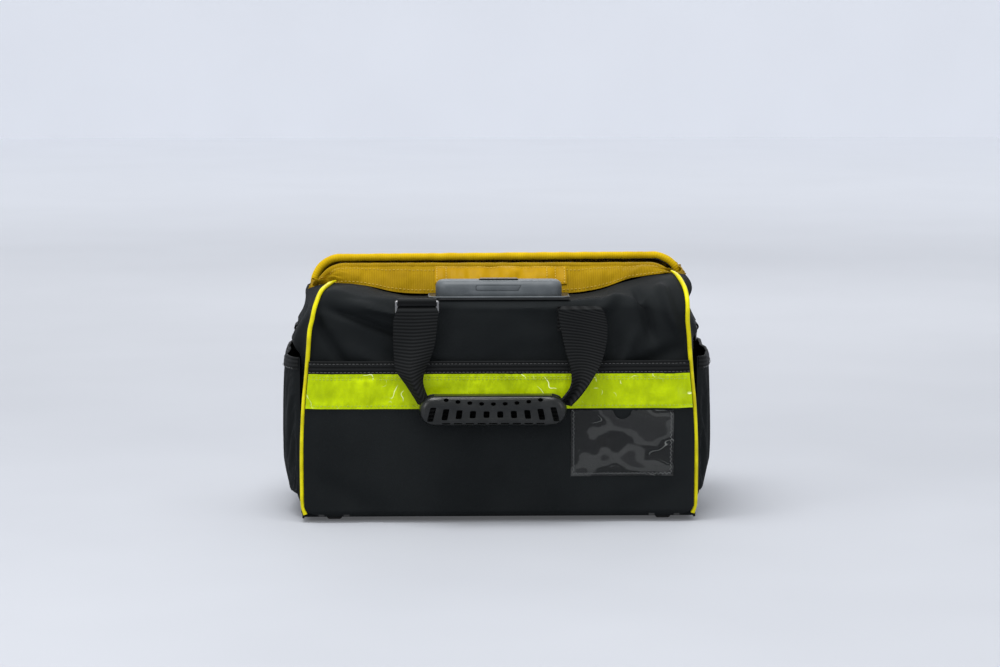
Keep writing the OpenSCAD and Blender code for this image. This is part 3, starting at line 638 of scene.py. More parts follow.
def panel_point(u, v, mirror=1):
    """A point of the front cloth; mirror=-1 gives the rear cloth before it is turned."""
    s = v * sum(panel_run)
    away, z, (out_y, out_z) = fold_path(v, (2 * u - 1) * 0.19)
    back = away / (seam_y - wall_y)
    left, right = end_x(-mirror, away, z), end_x(mirror, away, z)
    x = -left + u * (left + right)
    end = 1 - ease(min(u, 1 - u) / 0.02)
    y = wall_y + away + seam_back(x) * back ** 2
    z += shoulder_lift(mirror * x, back)
    free = 1 - end
    wall = 1 - ease((s - panel_run[0]) / panel_run[1])
    push = sway(x, 0, s, 0.07, 0.0035, 2.3) * free
    push += sway(x, 0, s, 0.022, 0.0011, 4.9) * free
    push += 0.0016 * math.sin(math.pi * u) * wall
    folds = (crease(x, s, (-0.172, 0.128), (-0.1, 0.1), 0.0045, -0.0065)
             + crease(x, s, (-0.15, 0.132), (-0.08, 0.118), 0.004, 0.0058)
             + crease(x, s, (-0.19, 0.12), (-0.16, 0.07), 0.0055, -0.0055)
             + crease(x, s, (0.145, 0.15), (0.158, 0.1), 0.006, -0.0095)
             + crease(x, s, (0.168, 0.15), (0.183, 0.11), 0.0055, 0.007)
             + crease(x, s, (0.125, 0.142), (0.09, 0.116), 0.0055, 0.005)
             + crease(x, s, (-0.04, 0.135), (0.05, 0.131), 0.006, 0.0016)
             + crease(x, s, (0.19, 0.09), (0.13, 0.06), 0.008, -0.004)
             + crease(x, s, (0.14, 0.1), (0.12, 0.055), 0.007, 0.0035)
             + crease(x, s, (-0.15, 0.085), (-0.1, 0.06), 0.008, 0.0035)
             + crease(x, s, (-0.13, 0.08), (-0.03, 0.055), 0.01, -0.0025))
    push += folds * free * (1 if mirror > 0 else 0.45)
    calm = 1 - ease((78 - abs(x * 1000)) / 8) * ease((s - panel_run[0]) / 0.006)
    push *= calm
    return (x, y + push * out_y, z + push * out_z)


panel_flat = (0.396, sum(panel_run))
front_cloth = cloth_grid("front_panel_cloth", 220, 120, panel_flat, panel_point)
rear_cloth = cloth_grid("rear_panel_cloth", 200, 100, panel_flat, lambda u, v: panel_point(u, v, -1))
rear_cloth.data.transform(Matrix.Rotation(math.pi, 4, "Z"))
# The front shoulder is cut out for the trolley grip's bezel.
bezel_low, bezel_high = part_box("trolley_bezel")
cut = bmesh.new()
cut.from_mesh(front_cloth.data)
inside = [f for f in cut.faces if bezel_low.x + 0.003 < f.calc_center_median().x < bezel_high.x - 0.003
          and bezel_low.y + 0.003 < f.calc_center_median().y < bezel_high.y - 0.003
          and f.calc_center_median().z > shoulder_z - 0.006]
bmesh.ops.delete(cut, geom=inside, context="FACES")
cut.to_mesh(front_cloth.data)
cut.free()
# Below, the same cloth runs on down behind the pocket to the base.
lower_flat = (0.408, wall_start - panel_low.z + 0.002)


def lower_point(u, v):
    z = panel_low.z + 0.001 + v * (wall_start + 0.002 - panel_low.z)
    x = (2 * u - 1) * (corner_x(z) - 0.0005)
    return (x, wall_y + 0.0026 + sway(x, 0, z, 0.09, 0.001, 7.7) * ease((wall_start - z) / 0.02), z)


front_lower = cloth_grid("front_panel_lower_cloth", 80, 24, lower_flat, lower_point)
rear_lower = turned(front_lower, "rear_panel_lower_cloth")
for piece in (front_lower, rear_lower):
    thicken(piece, 0.0022)
    dress(piece, black_cloth, "bag", "black_fabric")
for piece, node in ((front_cloth, "front_panel"), (rear_cloth, "rear_panel")):
    thicken(piece, 0.0024)
    dress(piece, black_cloth, "bag", "black_fabric", node)


# ---- Yellow collar: two halves of ribbed cloth, each sewn to a shoulder and hemmed round a steel frame ----
# Each half runs up from its seam to a sleeve on the frame's top bar, and follows the frame round its
# corners down to the ends.
def ribbed_cloth(name, worn, fresh, painted_shade_between_ribs):
    made, shader, wire = finish_of(name, {"Roughness": 0.58, "Specular IOR Level": 0.05})
    u, v, _ = wire.node("UVMap").parts()
    ribs = (u * (2 * math.pi / 0.0024)).sine()
    weft = (v * (2 * math.pi / 0.0011)).sine()
    place = wire.node("TexCoord", out=3)
    wear = wire.noise(place, 30, 4)
    fleck = wire.noise(place, 800, 2)
    gold = wire.mix(wear.step(0.3, 0.7), worn, fresh)
    # Painted shade: the colour darkens between the ribs toward the third, darker colour.
    plug(shader, "Base Color", wire.mix(ribs * 0.14 + 0.35 * fleck + 0.1, gold, painted_shade_between_ribs))
    plug(shader, "Roughness", 0.5 + 0.25 * fleck)
    bump(shader, ribs * 0.3 + weft * 0.15 + 0.3 * fleck, 0.0003)
    return made


ribbed_gold = ribbed_cloth("ribbed_yellow_cloth", (0.25, 0.15, 0.0015), (0.33, 0.205, 0.002),
                           (0.17, 0.1, 0.001))
# Painted light: a brighter copy of the collar cloth, used on the rear sleeve for the light on the collar's top
# edge.
lit_hem_gold = ribbed_cloth("yellow_hem_cloth_lit", (0.5, 0.32, 0.003), (0.66, 0.45, 0.006), (0.4, 0.25, 0.002))

patch_gold, patch_shader, wire = finish_of("smooth_yellow_laminate", {
    "Roughness": 0.42, "Specular IOR Level": 0.05})
place = wire.node("TexCoord", out=3)
cloudy = wire.noise(place, 45, 3)
plug(patch_shader, "Base Color", wire.mix(cloudy.step(0.3, 0.7), (0.31, 0.175, 0.001), (0.38, 0.22, 0.0015)))
plug(patch_shader, "Roughness", 0.34 + 0.2 * cloudy)
bump(patch_shader, cloudy + 0.1 * wire.noise(place, 900, 1), 0.0008)

pivot_z = (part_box("hinge_bracket_left")[0].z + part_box("hinge_bracket_left")[1].z) / 2
rod, bend, leg = 0.0025, 0.028, 0.08  # radius of the rod, radius of its corners, height above the pin


def along(path, t):
    """A smooth curve through evenly spaced points, t from 0 to 1."""
    t = min(max(t, 0.0), 1.0) * (len(path) - 1)
    k = min(int(t), len(path) - 2)
    f = t - k
    a, b, c, d = (Vector(path[min(max(k + j, 0), len(path) - 1)]) for j in (-1, 0, 1, 2))
    return 0.5 * (2 * b + (c - a) * f + (2 * a - 5 * b + 4 * c - d) * f * f + (3 * b - a - 3 * c + d) * f ** 3)


def seam_stops(side):
    """The collar seam: along the shoulder, then round both ends over the end panels."""
    line = [(x, side * (abs(seam_y) - seam_back(x) - 0.0008), shoulder_z + seam_rise(x) + 0.0012)
            for x in (-0.141, -0.106, -0.0707, -0.0353, 0, 0.0353, 0.0707, 0.106, 0.141)]
    return ([(-0.2, side * 0.008, 0.2345), (-0.1755, side * 0.04, 0.2415)] + line
            + [(0.181, side * 0.045, 0.2535), (0.201, side * 0.008, 0.249)])


class CollarHalf:
    """Where one half of the collar runs: side is -1 at the front and 1 at the rear."""

    def __init__(self, side, leg_x, lean):
        self.side, self.leg_x, self.lean = side, leg_x, lean
        self.straight = leg_x - bend
        self.half = self.straight + math.pi / 2 * bend + 0.008
        self.stops = seam_stops(side)

    def bar(self, s):
        """Centre of the frame's rod, s along it from the middle."""
        a, sign = abs(s), math.copysign(1, s)
        if a <= self.straight:
            x, down = a, 0.0
        elif a <= self.straight + math.pi / 2 * bend:
            angle = (a - self.straight) / bend
            x, down = self.straight + bend * math.sin(angle), bend * (1 - math.cos(angle))
        else:
            x, down = self.leg_x, bend + a - self.straight - math.pi / 2 * bend
        reach = leg - down
        return Vector((sign * x, self.side * math.sin(self.lean) * reach,
                       pivot_z + math.cos(self.lean) * reach))

    def seam(self, u):
        return along(self.stops, (u + 1) / 2)

    def point(self, u, w, off=0.0):
        """A point of the sheet: u from -1 to 1 along the mouth, w from the seam to the sleeve."""
        low = self.seam(u)
        s = u * self.half
        high = self.bar(s)
        out = Vector((0.5 * ease((abs(u) - 0.75) / 0.2) * math.copysign(1, u), self.side, 0.75)).normalized()
        high = high + out * (rod + 0.0008) - Vector((0, 0, 0.0012))
        at = low.lerp(high, w)
        ends = ease((abs(u) - 0.72) / 0.2)
        hang = math.sin(math.pi * min(w, 0.93)) ** 0.8
        slack = 0.0032 * math.sin(math.pi * w) * (1 - 0.4 * ends)
        wave = noise.noise(Vector((u * 13 + 5 * self.side, w * 0.9, 2.0))) * 0.004
        wave += noise.noise(Vector((u * 34, w * 2.2 + 3, 6.0))) * 0.0014
        gather = 0.017 if u * self.side > 0 else 0.01
        wave += ends * noise.noise(Vector((u * 24 + w * 5, w * 3, 9.0))) * gather
        return at + out * (slack + wave * hang + off)


front_half = CollarHalf(-1, 0.188, math.radians(21.6))
rear_half = CollarHalf(1, 0.194, math.radians(3))


def collar_sheet(name, half):
    """The sheet from the seam to the sleeve, facing out of the bag."""
    turn = -half.side
    return cloth_grid(name, 240, 30, (2 * half.half, 0.038),
                      lambda u, v: half.point(turn * (2 * u - 1), v))


def collar_sleeve(name, half):
    """The hem round the steel bar."""
    def point(u, v):
        s = (2 * u - 1) * (half.half - 0.004)
        centre, ahead = half.bar(s), half.bar(s + 0.0005) - half.bar(s - 0.0005)
        ahead.normalize()
        out = Vector((0, half.side, 0)) - ahead * ahead.y * half.side
        out.normalize()
        angle = 2 * math.pi * v
        radius = rod + 0.0012 + 0.0004 * noise.noise(Vector((s * 90, v * 3, 1 + half.side)))
        up = ahead.cross(out) * half.side
        tall, rise = (radius + 0.0004, 0.0012 * (1 + s / half.half)) if half.side > 0 else (radius, 0.0)
        return centre + up * (rise + tall * math.sin(angle)) + out * radius * math.cos(angle)
    sleeve = cloth_grid(name, 260, 16, (2 * half.half, 0.024), point)
    only(sleeve)
    bpy.ops.object.mode_set(mode="EDIT")
    bpy.ops.mesh.select_all(action="SELECT")
    bpy.ops.mesh.remove_doubles(threshold=0.00002)
    bpy.ops.mesh.normals_make_consistent(inside=False)
    bpy.ops.object.mode_set(mode="OBJECT")
    return sleeve


collar_parts = (("front", front_half, "mouth_front", "front_collar", (0.4, 0.041), 0.0141),
                ("rear", rear_half, "mouth_rear", "rear_collar", (0.41, 0.066), 0.0238))
for side, half, body, node, cut_size, cut_area in collar_parts:
    sheet = collar_sheet(side + "_collar_cloth", half)
    thicken(sheet, 0.0011)
    dress(sheet, ribbed_gold, None, "yellow_fabric", node)
    side + "_collar_frame"
    tuple(half.seam(0))
    tuple(half.bar(0))
    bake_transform(sheet)
    sleeve = collar_sleeve(side + "_collar_sleeve", half)
    # The rear sleeve takes the brighter, lit copy of the collar cloth.
    dress(sleeve, lit_hem_gold if half.side > 0 else ribbed_gold, body, "yellow_fabric")
    for k, w in enumerate((0.1, 0.8)):
        path = [half.point(-0.97 + 1.94 * j / 260, w, 0.0006) for j in range(261)]
        row = stitches(f"{side}_collar_row_{k}", path, (0, half.side * 0.8, 0.6), 0.0026, 0.0016, 0.0006,
                       gold_thread, None)
        tuple(half.seam(0))
        tuple(half.bar(0))
        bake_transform(row)
    inner = [half.point(-0.97 + 1.94 * j / 260, 0.8, -0.0017) for j in range(261)]
    row = stitches(f"{side}_collar_inner_row", inner, (0, -half.side * 0.8, 0.3), 0.0026, 0.0016, 0.0006,
                   gold_thread, None)
    tuple(half.seam(0))
    tuple(half.bar(0))
    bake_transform(row)


# ---- Closure patch: a smooth laminated panel on the front half, for a hook-and-loop flap ----
# Topstitched all round, with two lines across it near its ends.
patch_left, patch_right = -0.066, 0.0725
patch_w = (0.27, 0.93)


def patch_point(u, v, off=0.0016):
    x = patch_left + u * (patch_right - patch_left)
    share = x / front_half.half
    at = front_half.point(share, patch_w[0] + v * (patch_w[1] - patch_w[0]), off)
    edge = ease(min(u, 1 - u) / 0.04) * ease(min(v, 1 - v) / 0.2)
    return at + Vector((0, -0.0005, 0.0004)) * edge


patch = cloth_grid("closure_patch", 90, 20, (0.139, 0.025), patch_point)
thicken(patch, 0.0011)
apply(patch, "BEVEL", width=0.0004, segments=2, limit_method="ANGLE")
dress(patch, patch_gold, None, "closure_patch", "closure_strip")
tuple(front_half.seam(0))
tuple(front_half.bar(0))
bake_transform(patch)


def patch_line(u0, v0, u1, v1, count=80):
    return [patch_point(u0 + (u1 - u0) * k / count, v0 + (v1 - v0) * k / count, 0.0022) for k in range(count + 1)]


patch_rows = joined("closure_patch_stitching", *[
    stitches(f"patch_row_{k}", patch_line(*line), (0, -0.75, 0.65), 0.0024, 0.0012, 0.0006, gold_thread,
             None)
    for k, line in enumerate(((0.015, 0.08, 0.985, 0.08), (0.015, 0.92, 0.985, 0.92), (0.015, 0.08, 0.015, 0.92),
                              (0.985, 0.08, 0.985, 0.92), (0.085, 0.08, 0.085, 0.92), (0.85, 0.08, 0.85, 0.92),
                              (0.915, 0.08, 0.915, 0.92)))])
tuple(front_half.seam(0))
tuple(front_half.bar(0))
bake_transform(patch_rows)


# ---- End panels: black cloth at both ends, gathered into soft lobes beside the mouth ----
# One cloth from the base to the collar. The frame legs stand behind it and push it into folds.
end_low, end_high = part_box("end_panel_right")
right_profile = ((0.0, 0.2065), (0.15, 0.2075), (0.18, 0.2065), (0.187, 0.2075), (0.1935, 0.2122), (0.208, 0.2055),
                 (0.221, 0.2), (0.235, 0.2035), (0.243, 0.2025), (0.25, 0.1985))
left_profile = ((0.0, 0.2065), (0.15, 0.2075), (0.168, 0.208), (0.184, 0.2175), (0.2, 0.2105), (0.214, 0.203),
                (0.228, 0.2025), (0.236, 0.2))


pin_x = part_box("hinge_bracket_right")[1].x + 0.0042
pin_z = (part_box("hinge_bracket_right")[0].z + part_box("hinge_bracket_right")[1].z) / 2


def end_edge(side, v):
    """The seam at a corner of an end panel: up the corner, round the fold and in along the shoulder."""
    low_share = 0.34
    if v < low_share:
        z = end_low.z + v / low_share * (wall_start - end_low.z)
        return Vector((corner_x(z) + 0.0006, abs(wall_y), z))
    away, z, _ = fold_path((v - low_share) / (1 - low_share), 0.19)
    x, back = end_x(side, away, z), away / (seam_y - wall_y)
    return Vector((x + 0.0005, abs(wall_y) - away - 0.012 * back ** 2, z + shoulder_lift(side * x, back)))


def end_point(u, v, side, profile, top):
    edge = end_edge(side, v)
    share = min(u, 1 - u)
    middle = ease(share / 0.24)
    y = (2 * u - 1) * edge.y
    high = end_low.z + v * (top - end_low.z)
    z = edge.z + (high - edge.z) * middle
    out = between(profile, high)
    x = edge.x + (out - edge.x) * middle
    x += (sway(0.3, y, z, 0.06, 0.003, 8.2) + sway(0.3, y, z, 0.018, 0.0012, 3.3)) * middle
    x += 0.0035 * math.sin(y * 62 + z * 40) * middle * ease((z - 0.17) / 0.03)
    near_pin = math.exp(-(y / 0.022) ** 2 - ((z - pin_z) / 0.02) ** 2)
    x += max(0.0, pin_x - x) * min(1.0, 1.6 * near_pin)
    clear = 0.2083 + 0.012 * max(ease((abs(y) - 0.018) / 0.018), ease((abs(z - 0.184) - 0.011) / 0.012))
    x = min(x, clear)
    x += max(0.0, 0.1995 - x) * middle * ease((0.08 - abs(y)) / 0.02)
    return (x, y, z)


right_end = cloth_grid("end_cloth_right", 90, 130, (0.216, 0.245),
                       lambda u, v: end_point(u, v, 1, right_profile, 0.2485))
left_end = cloth_grid("end_cloth_left", 90, 130, (0.216, 0.235),
                      lambda u, v: end_point(u, v, -1, left_profile, 0.2345))
left_end.data.transform(Matrix.Rotation(math.pi, 4, "Z"))
for piece, node, height in ((right_end, "end_panel_right", 0.24), (left_end, "end_panel_left", 0.232)):
    thicken(piece, 0.0022)
    dress(piece, black_cloth, "bag", "black_fabric", node)


# ---- Collar gussets: yellow cloth that closes the collar at each end, inside the lobes ----
# A gathered triangle between the two frame corners.
gusset_low, gusset_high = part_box("collar_gusset_right")


def gusset_point(u, v, top, side):
    y = gusset_low.y + u * (gusset_high.y - gusset_low.y)
    peak = 1 - abs(u - 0.5) / 0.5
    x = 0.1995 - 0.03 * (1 - ease(peak / 0.5)) + 0.0016 * math.sin(y * 260) * v
    z = top - 0.004 + v * (0.004 + 0.01 * ease(peak) ** 0.8)
    return (x - 0.004 * v, y, z)


gusset = cloth_grid("collar_gusset_cloth_right", 60, 24, (0.104, 0.014),
                    lambda u, v: gusset_point(u, v, 0.2475, 1))
other_gusset = cloth_grid("collar_gusset_cloth_left", 60, 24, (0.104, 0.014),
                          lambda u, v: gusset_point(u, v, 0.2345, -1))
other_gusset.data.transform(Matrix.Rotation(math.pi, 4, "Z"))
for piece, node in ((gusset, "collar_gusset_right"), (other_gusset, "collar_gusset_left")):
    thicken(piece, 0.001)
    dress(piece, ribbed_gold, "bag", "yellow_fabric", node)


# ---- End pockets: a gathered pocket on each end, bellied out and drawn in at the base ----
# The cloth is inflated from inside and held at its three sewn edges, as a soft pocket keeps its shape.
pocket_end_low, pocket_end_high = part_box("end_pocket_right")
belly_half, belly_top = pocket_end_high.y, pocket_end_high.z
wall_x = end_high.x
most_moved, most_proud = 0.005, 0.0055  # how far the filled cloth may move, and stand past the pocket


def belly_point(u, v, proud=0.0):
    y = -belly_half + u * 2 * belly_half
    z = pocket_end_low.z + v * (belly_top - pocket_end_low.z)
    side = 1 - (2 * u - 1) ** 4
    shape = math.sin(math.pi * (0.06 + 0.72 * v)) ** 0.7
    shape *= ease(v / 0.1) ** 0.6
    x = wall_x + 0.0012 + (pocket_end_high.x - wall_x + 0.001) * shape * side ** 0.6
    pleat = math.exp(-((abs(y) - 0.055) / 0.006) ** 2) * (1 - v) * 0.004
    x += (sway(0.2, y, z, 0.05, 0.0035, 6.6) + sway(0.2, y, z * 0.5, 0.02, 0.0016, 2.2)) * side - pleat
    return Vector((min(x, pocket_end_high.x + 0.0035) + proud, y, z))


def belly(name):
    piece = cloth_grid(name, 90, 80, (0.2, 0.17), belly_point)
    edge = piece.vertex_groups.new(name="sewn")
    for point in piece.data.vertices:
        y, z = point.co.y, point.co.z
        if abs(y) > belly_half - 0.003 or z < pocket_end_low.z + 0.003:
            edge.add([point.index], 1.0, "REPLACE")
        elif z > belly_top - 0.016:
            edge.add([point.index], 0.75, "REPLACE")
    start = [point.co.copy() for point in piece.data.vertices]
    only(piece)
    cloth = piece.modifiers.new("cloth", "CLOTH")
    cloth.settings.quality = 5
    cloth.settings.vertex_group_mass = "sewn"
    cloth.settings.shrink_min = -0.035
    cloth.settings.bending_stiffness = 0.6
    cloth.settings.use_pressure = True
    cloth.settings.uniform_pressure_force = 2.5
    cloth.settings.effector_weights.gravity = 0.1
    cloth.point_cache.frame_start, cloth.point_cache.frame_end = 1, 22
    for step in range(1, 21):
        bpy.context.scene.frame_set(step)
    bpy.ops.object.modifier_apply(modifier="cloth")
    bpy.context.scene.frame_set(1)
    for point, was in zip(piece.data.vertices, start):
        moved = point.co - was
        if moved.length > most_moved:
            point.co = was + moved.normalized() * most_moved
        point.co.x = min(max(point.co.x, wall_x + 0.001), pocket_end_high.x + most_proud)
    return piece


belly_right = belly("end_pocket_cloth_right")
thicken(belly_right, 0.0012)
belly_left = turned(belly_right, "end_pocket_cloth_left")
for piece, node in ((belly_right, "end_pocket_right"), (belly_left, "end_pocket_left")):
    dress(piece, black_cloth, "bag", "black_fabric", node)

hem_share = 0.915
end_hem = cloth_grid("end_pocket_binding_right", 90, 6, (0.2, 0.0145),
                     lambda u, v: belly_point(u, hem_share + (1.004 - hem_share) * v,
                                              0.0012 + 0.0006 * math.sin(math.pi * v)))
thicken(end_hem, 0.0026)
apply(end_hem, "BEVEL", width=0.0005, segments=2, limit_method="ANGLE")
other_end_hem = turned(end_hem, "end_pocket_binding_left")
for piece, node in ((end_hem, "end_pocket_hem_right"), (other_end_hem, "end_pocket_hem_left")):
    dress(piece, webbing, "bag", "black_webbing", node)
hem_line = [belly_point(0.02 + 0.96 * k / 120, hem_share + 0.012, 0.0022) for k in range(121)]
end_row = stitches("end_binding_stitching_right", hem_line, (1, 0, 0), 0.003, 0.0013, 0.0006, black_thread,
                   None)
other_end_row = turned(end_row, "end_binding_stitching_left")
for piece in (end_row, other_end_row):
    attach(piece, "bag")


# ---- Piping: a bright yellow bead in all four end seams ----
# Vinyl over a cord, caught in the seam from the base up round the fold and in along the shoulder.
bright, bright_shader, wire = finish_of("yellow_piping", {
    "Roughness": 0.38, "Specular IOR Level": 0.15, "Emission Strength": 0.06})
place = wire.node("TexCoord", out=3)
soil = wire.noise(place, 60, 3)
tone = wire.mix(soil.step(0.35, 0.7), (0.5, 0.44, 0.001), (0.68, 0.62, 0.002))
plug(bright_shader, "Base Color", tone)
# Painted light: the piping glows faintly in its own colour.
plug(bright_shader, "Emission Color", tone)
bump(bright_shader, wire.noise(place, 260, 2), 0.0003)


def bead(name, path, radius, sides=12):
    """A round bead that follows a smooth path, with closed ends."""
    line = bpy.data.curves.new(name, "CURVE")
    line.dimensions, line.bevel_depth, line.bevel_resolution, line.use_fill_caps = "3D", radius, sides // 4, True
    spline = line.splines.new("NURBS")
    spline.points.add(len(path) - 1)
    for k, (point, at) in enumerate(zip(spline.points, path)):
        point.co = (*at, 1)
        point.radius = min(1.0, 0.4 + 0.15 * (len(path) - 1 - k))
    spline.use_endpoint_u, spline.order_u, spline.resolution_u = True, 3, 3
    piece = bpy.data.objects.new(name, line)
    bpy.context.scene.collection.objects.link(piece)
    only(piece)
    bpy.ops.object.convert(target="MESH")
    return bpy.context.object


pipe_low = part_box("piping_front_right")[0]
pipe_r = 0.0023
pipe_y = pipe_low.y + pipe_r


def piping_path(side, mirror=1):
    """Up the corner, round the fold and in to the end of the collar seam; mirror=-1 for the rear seams."""
    path = [(side * (corner_x(z) - 0.004 * ease((0.02 - z) / 0.018) + 0.0006 * math.sin(z * 31)),
             pipe_y + 0.0008 * math.sin(z * 40), z)
            for z in (0.0085, 0.012, 0.016, 0.022, 0.03, 0.045, 0.06, 0.08)]
    for k in range(41):
        v = 0.36 + 0.64 * k / 40
        edge = end_edge(side * mirror, v)
        _, _, (out_y, out_z) = fold_path((v - 0.34) / 0.66, 0.19)
        path.append((side * (edge.x - 0.0004), -edge.y + 0.0025 * out_y, edge.z + 0.0022 * out_z))
    return path


front_left_pipe = bead("piping_bead_front_left", piping_path(-1), pipe_r)
front_right_pipe = bead("piping_bead_front_right", piping_path(1), pipe_r)
rear_right_pipe = bead("piping_bead_rear_right", piping_path(-1, -1), pipe_r)
rear_left_pipe = bead("piping_bead_rear_left", piping_path(1, -1), pipe_r)
for piece in (rear_right_pipe, rear_left_pipe):
    piece.data.transform(Matrix.Rotation(math.pi, 4, "Z"))
for piece, node in ((front_left_pipe, "piping_front_left"), (front_right_pipe, "piping_front_right"),
                    (rear_right_pipe, "piping_rear_right"), (rear_left_pipe, "piping_rear_left")):
    dress(piece, bright, "bag", "piping", node, angle=60)


# ---- Carry handle straps: 50 mm webbing, doubled round the ring and sewn flat at the other end ----
# Each leg narrows and folds along its length where it runs into the end of the moulded grip.
grip_low, grip_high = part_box("front_handle_grip")
grip_mid = (grip_low + grip_high) / 2
hinge_y, hinge_z = -0.115, 0.231
loop_z = hinge_z - 0.01


def strap_leg(name, left, right, height, depth, ridge, slant, over):
    """A leg between two edge lines; ridge folds it along its middle, over rolls its top round the ring."""
    def point(u, v):
        t = 1 - v
        if t < over:
            turn = (1 - t / over) * math.radians(200)
            edge_l, edge_r = left[0][1], right[0][1]
            narrow = 0.004 * math.sin(turn) if over > 0.02 else 0.0
            x = edge_l + narrow + u * (edge_r - edge_l - 2 * narrow)
            y = hinge_y - 0.0046 * math.cos(turn)
            z = loop_z + 0.0046 * math.sin(turn) + 0.0012
            return (x, y, z)
        s = (t - over) / (1 - over)
        edge_l, edge_r = between(left, s), between(right, s)
        x = edge_l + u * (edge_r - edge_l)
        fold_in = between(ridge, s)
        middle = 1 - abs(2 * u - 1) ** 1.4
        y = between(depth, s) - fold_in * middle + 0.5 * fold_in
        y += 0.0012 * math.sin(2 * math.pi * u) * math.sin(math.pi * s)
        z = between(height, s)
        z += 0.002 * (1 - abs(2 * u - 1) ** 2) * s * (1 - s)
        return (x, y, z)
    piece = cloth_grid(name, 36, 110, (0.05, 0.12), point)
    for loop in piece.data.uv_layers[0].data:
        a, b = loop.uv[0] / 0.05, loop.uv[1] / 0.12
        loop.uv[1] += slant(a, 1 - b)
    return piece


left_leg = strap_leg(
    "front_strap_left",
    ((0, -0.1065), (0.12, -0.1093), (0.6, -0.1085), (0.7, -0.1055), (0.82, -0.0975), (0.93, -0.0895), (1, -0.0845)),
    ((0, -0.0625), (0.12, -0.064), (0.35, -0.0665), (0.52, -0.071), (0.68, -0.077), (0.82, -0.0785), (1, -0.0705)),
    ((0, loop_z + 0.0012), (0.5, 0.176), (0.8, 0.149), (1, 0.1265)),
    ((0, -0.1196), (0.3, -0.1208), (0.55, -0.1235), (0.8, -0.128), (1, -0.132)),
    ((0, 0), (0.3, 0.0005), (0.6, 0.0048), (0.85, 0.009), (1, 0.009)),
    lambda a, t: 0.006 * t * math.sin(math.pi * a) - 0.010 * t * max(0.0, a - 0.45), 0.05)
right_leg = strap_leg(
    "front_strap_right",
    ((0, 0.0605), (0.15, 0.0625), (0.45, 0.0685), (0.68, 0.0745), (0.85, 0.0735), (1, 0.06)),
    ((0, 0.1075), (0.15, 0.111), (0.35, 0.1105), (0.6, 0.104), (0.8, 0.0925), (0.92, 0.082), (1, 0.0725)),
    ((0, loop_z + 0.0012), (0.5, 0.176), (0.8, 0.149), (1, 0.1265)),
    ((0, -0.1192), (0.3, -0.1205), (0.55, -0.1232), (0.8, -0.128), (1, -0.132)),
    ((0, 0), (0.4, -0.002), (0.7, -0.0045), (1, -0.007)),
    lambda a, t: 0.016 * a * (1 - t) ** 1.2 - 0.004 * math.sin(math.pi * a) * t, 0.03)
for piece in (left_leg, right_leg):
    thicken(piece, 0.0019)
core = cloth_grid("front_strap_core", 60, 8, (0.14, 0.022),
                  lambda u, v: (grip_low.x + 0.004 + u * (grip_high.x - grip_low.x - 0.008),
                                grip_mid.y + 0.0009 + 0.0006 * math.sin(9 * u), grip_mid.z - 0.006 + 0.021 * v))
thicken(core, 0.0018)
front_straps = joined("front_handle_webbing", left_leg, core)
rear_straps = turned(front_straps, "rear_handle_webbing")
right_leg.name = right_leg.data.name = "front_handle_sewn_leg"
rear_leg = turned(right_leg, "rear_handle_sewn_leg")
for piece, leg_piece, body, node, side in ((front_straps, right_leg, "handle_front", "front_handle_strap", 1),
                                           (rear_straps, rear_leg, "handle_rear", "rear_handle_strap", -1)):
    dress(piece, webbing, body, "black_webbing", node)
    dress(leg_piece, webbing, None, "black_webbing")
    side * 0.085
    side * -0.1165
    side * 0.085
    side * -0.118
    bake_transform(leg_piece)


# ---- Moulded grips: a hard shell clipped round the webbing, pierced to save weight and shed water ----
# Injection moulded. Ten tall windows, a bowed row of round holes above and slits along the lower edge.
moulded, moulded_shader, wire = finish_of("black_moulding", {
    "Roughness": 0.3, "Specular IOR Level": 0.3, "Coat Weight": 0.1, "Coat Roughness": 0.15})
place = wire.node("TexCoord", out=3)
spark = wire.noise(place, 1500, 2)
rub = wire.noise(place, 70, 3)
plug(moulded_shader, "Base Color", wire.mix(rub.step(0.4, 0.7), (0.005, 0.006, 0.006), (0.011, 0.012, 0.012)))
plug(moulded_shader, "Roughness", 0.22 + 0.2 * rub)
bump(moulded_shader, spark, 0.00012)


def block(name, low, high):
    """A box between two corners, with its place in its mesh."""
    low, high = Vector(low), Vector(high)
    bpy.ops.object.select_all(action="DESELECT")
    bpy.ops.mesh.primitive_cube_add(size=1)
    piece = bpy.context.object
    piece.name = piece.data.name = name
    for point in piece.data.vertices:
        point.co = [(low[k] + high[k]) / 2 + point.co[k] * (high[k] - low[k]) for k in range(3)]
    return piece


def round_edges(piece, chosen, width, segments):
    """Bevels the edges that chosen(start, end) picks."""
    only(piece)
    bpy.ops.object.mode_set(mode="EDIT")
    bpy.ops.mesh.select_mode(type="EDGE")
    bpy.ops.mesh.select_all(action="DESELECT")
    bpy.ops.object.mode_set(mode="OBJECT")
    for edge in piece.data.edges:
        a, b = (piece.data.vertices[k].co for k in edge.vertices)
        edge.select = bool(chosen(a, b))
    bpy.ops.object.mode_set(mode="EDIT")
    bpy.ops.mesh.bevel(offset=width, segments=segments, profile=0.5)
    bpy.ops.object.mode_set(mode="OBJECT")


def carve(piece, *cutters):
    """Takes the cutters out of the piece."""
    tool = joined("cutter", *cutters)
    apply(piece, "BOOLEAN", operation="DIFFERENCE", solver="EXACT", use_self=True, object=tool)
    bpy.data.objects.remove(tool)


def peg(centre, radius, reach, squash=1.0):
    """A round cutter along Y."""
    bpy.ops.object.select_all(action="DESELECT")
    bpy.ops.mesh.primitive_cylinder_add(vertices=20, radius=radius, depth=reach)
    piece = bpy.context.object
    piece.data.transform(Matrix.Translation(centre) @ Matrix.Rotation(math.pi / 2, 4, "X")
                         @ Matrix.Scale(squash, 4, (1, 0, 0)))
    return piece


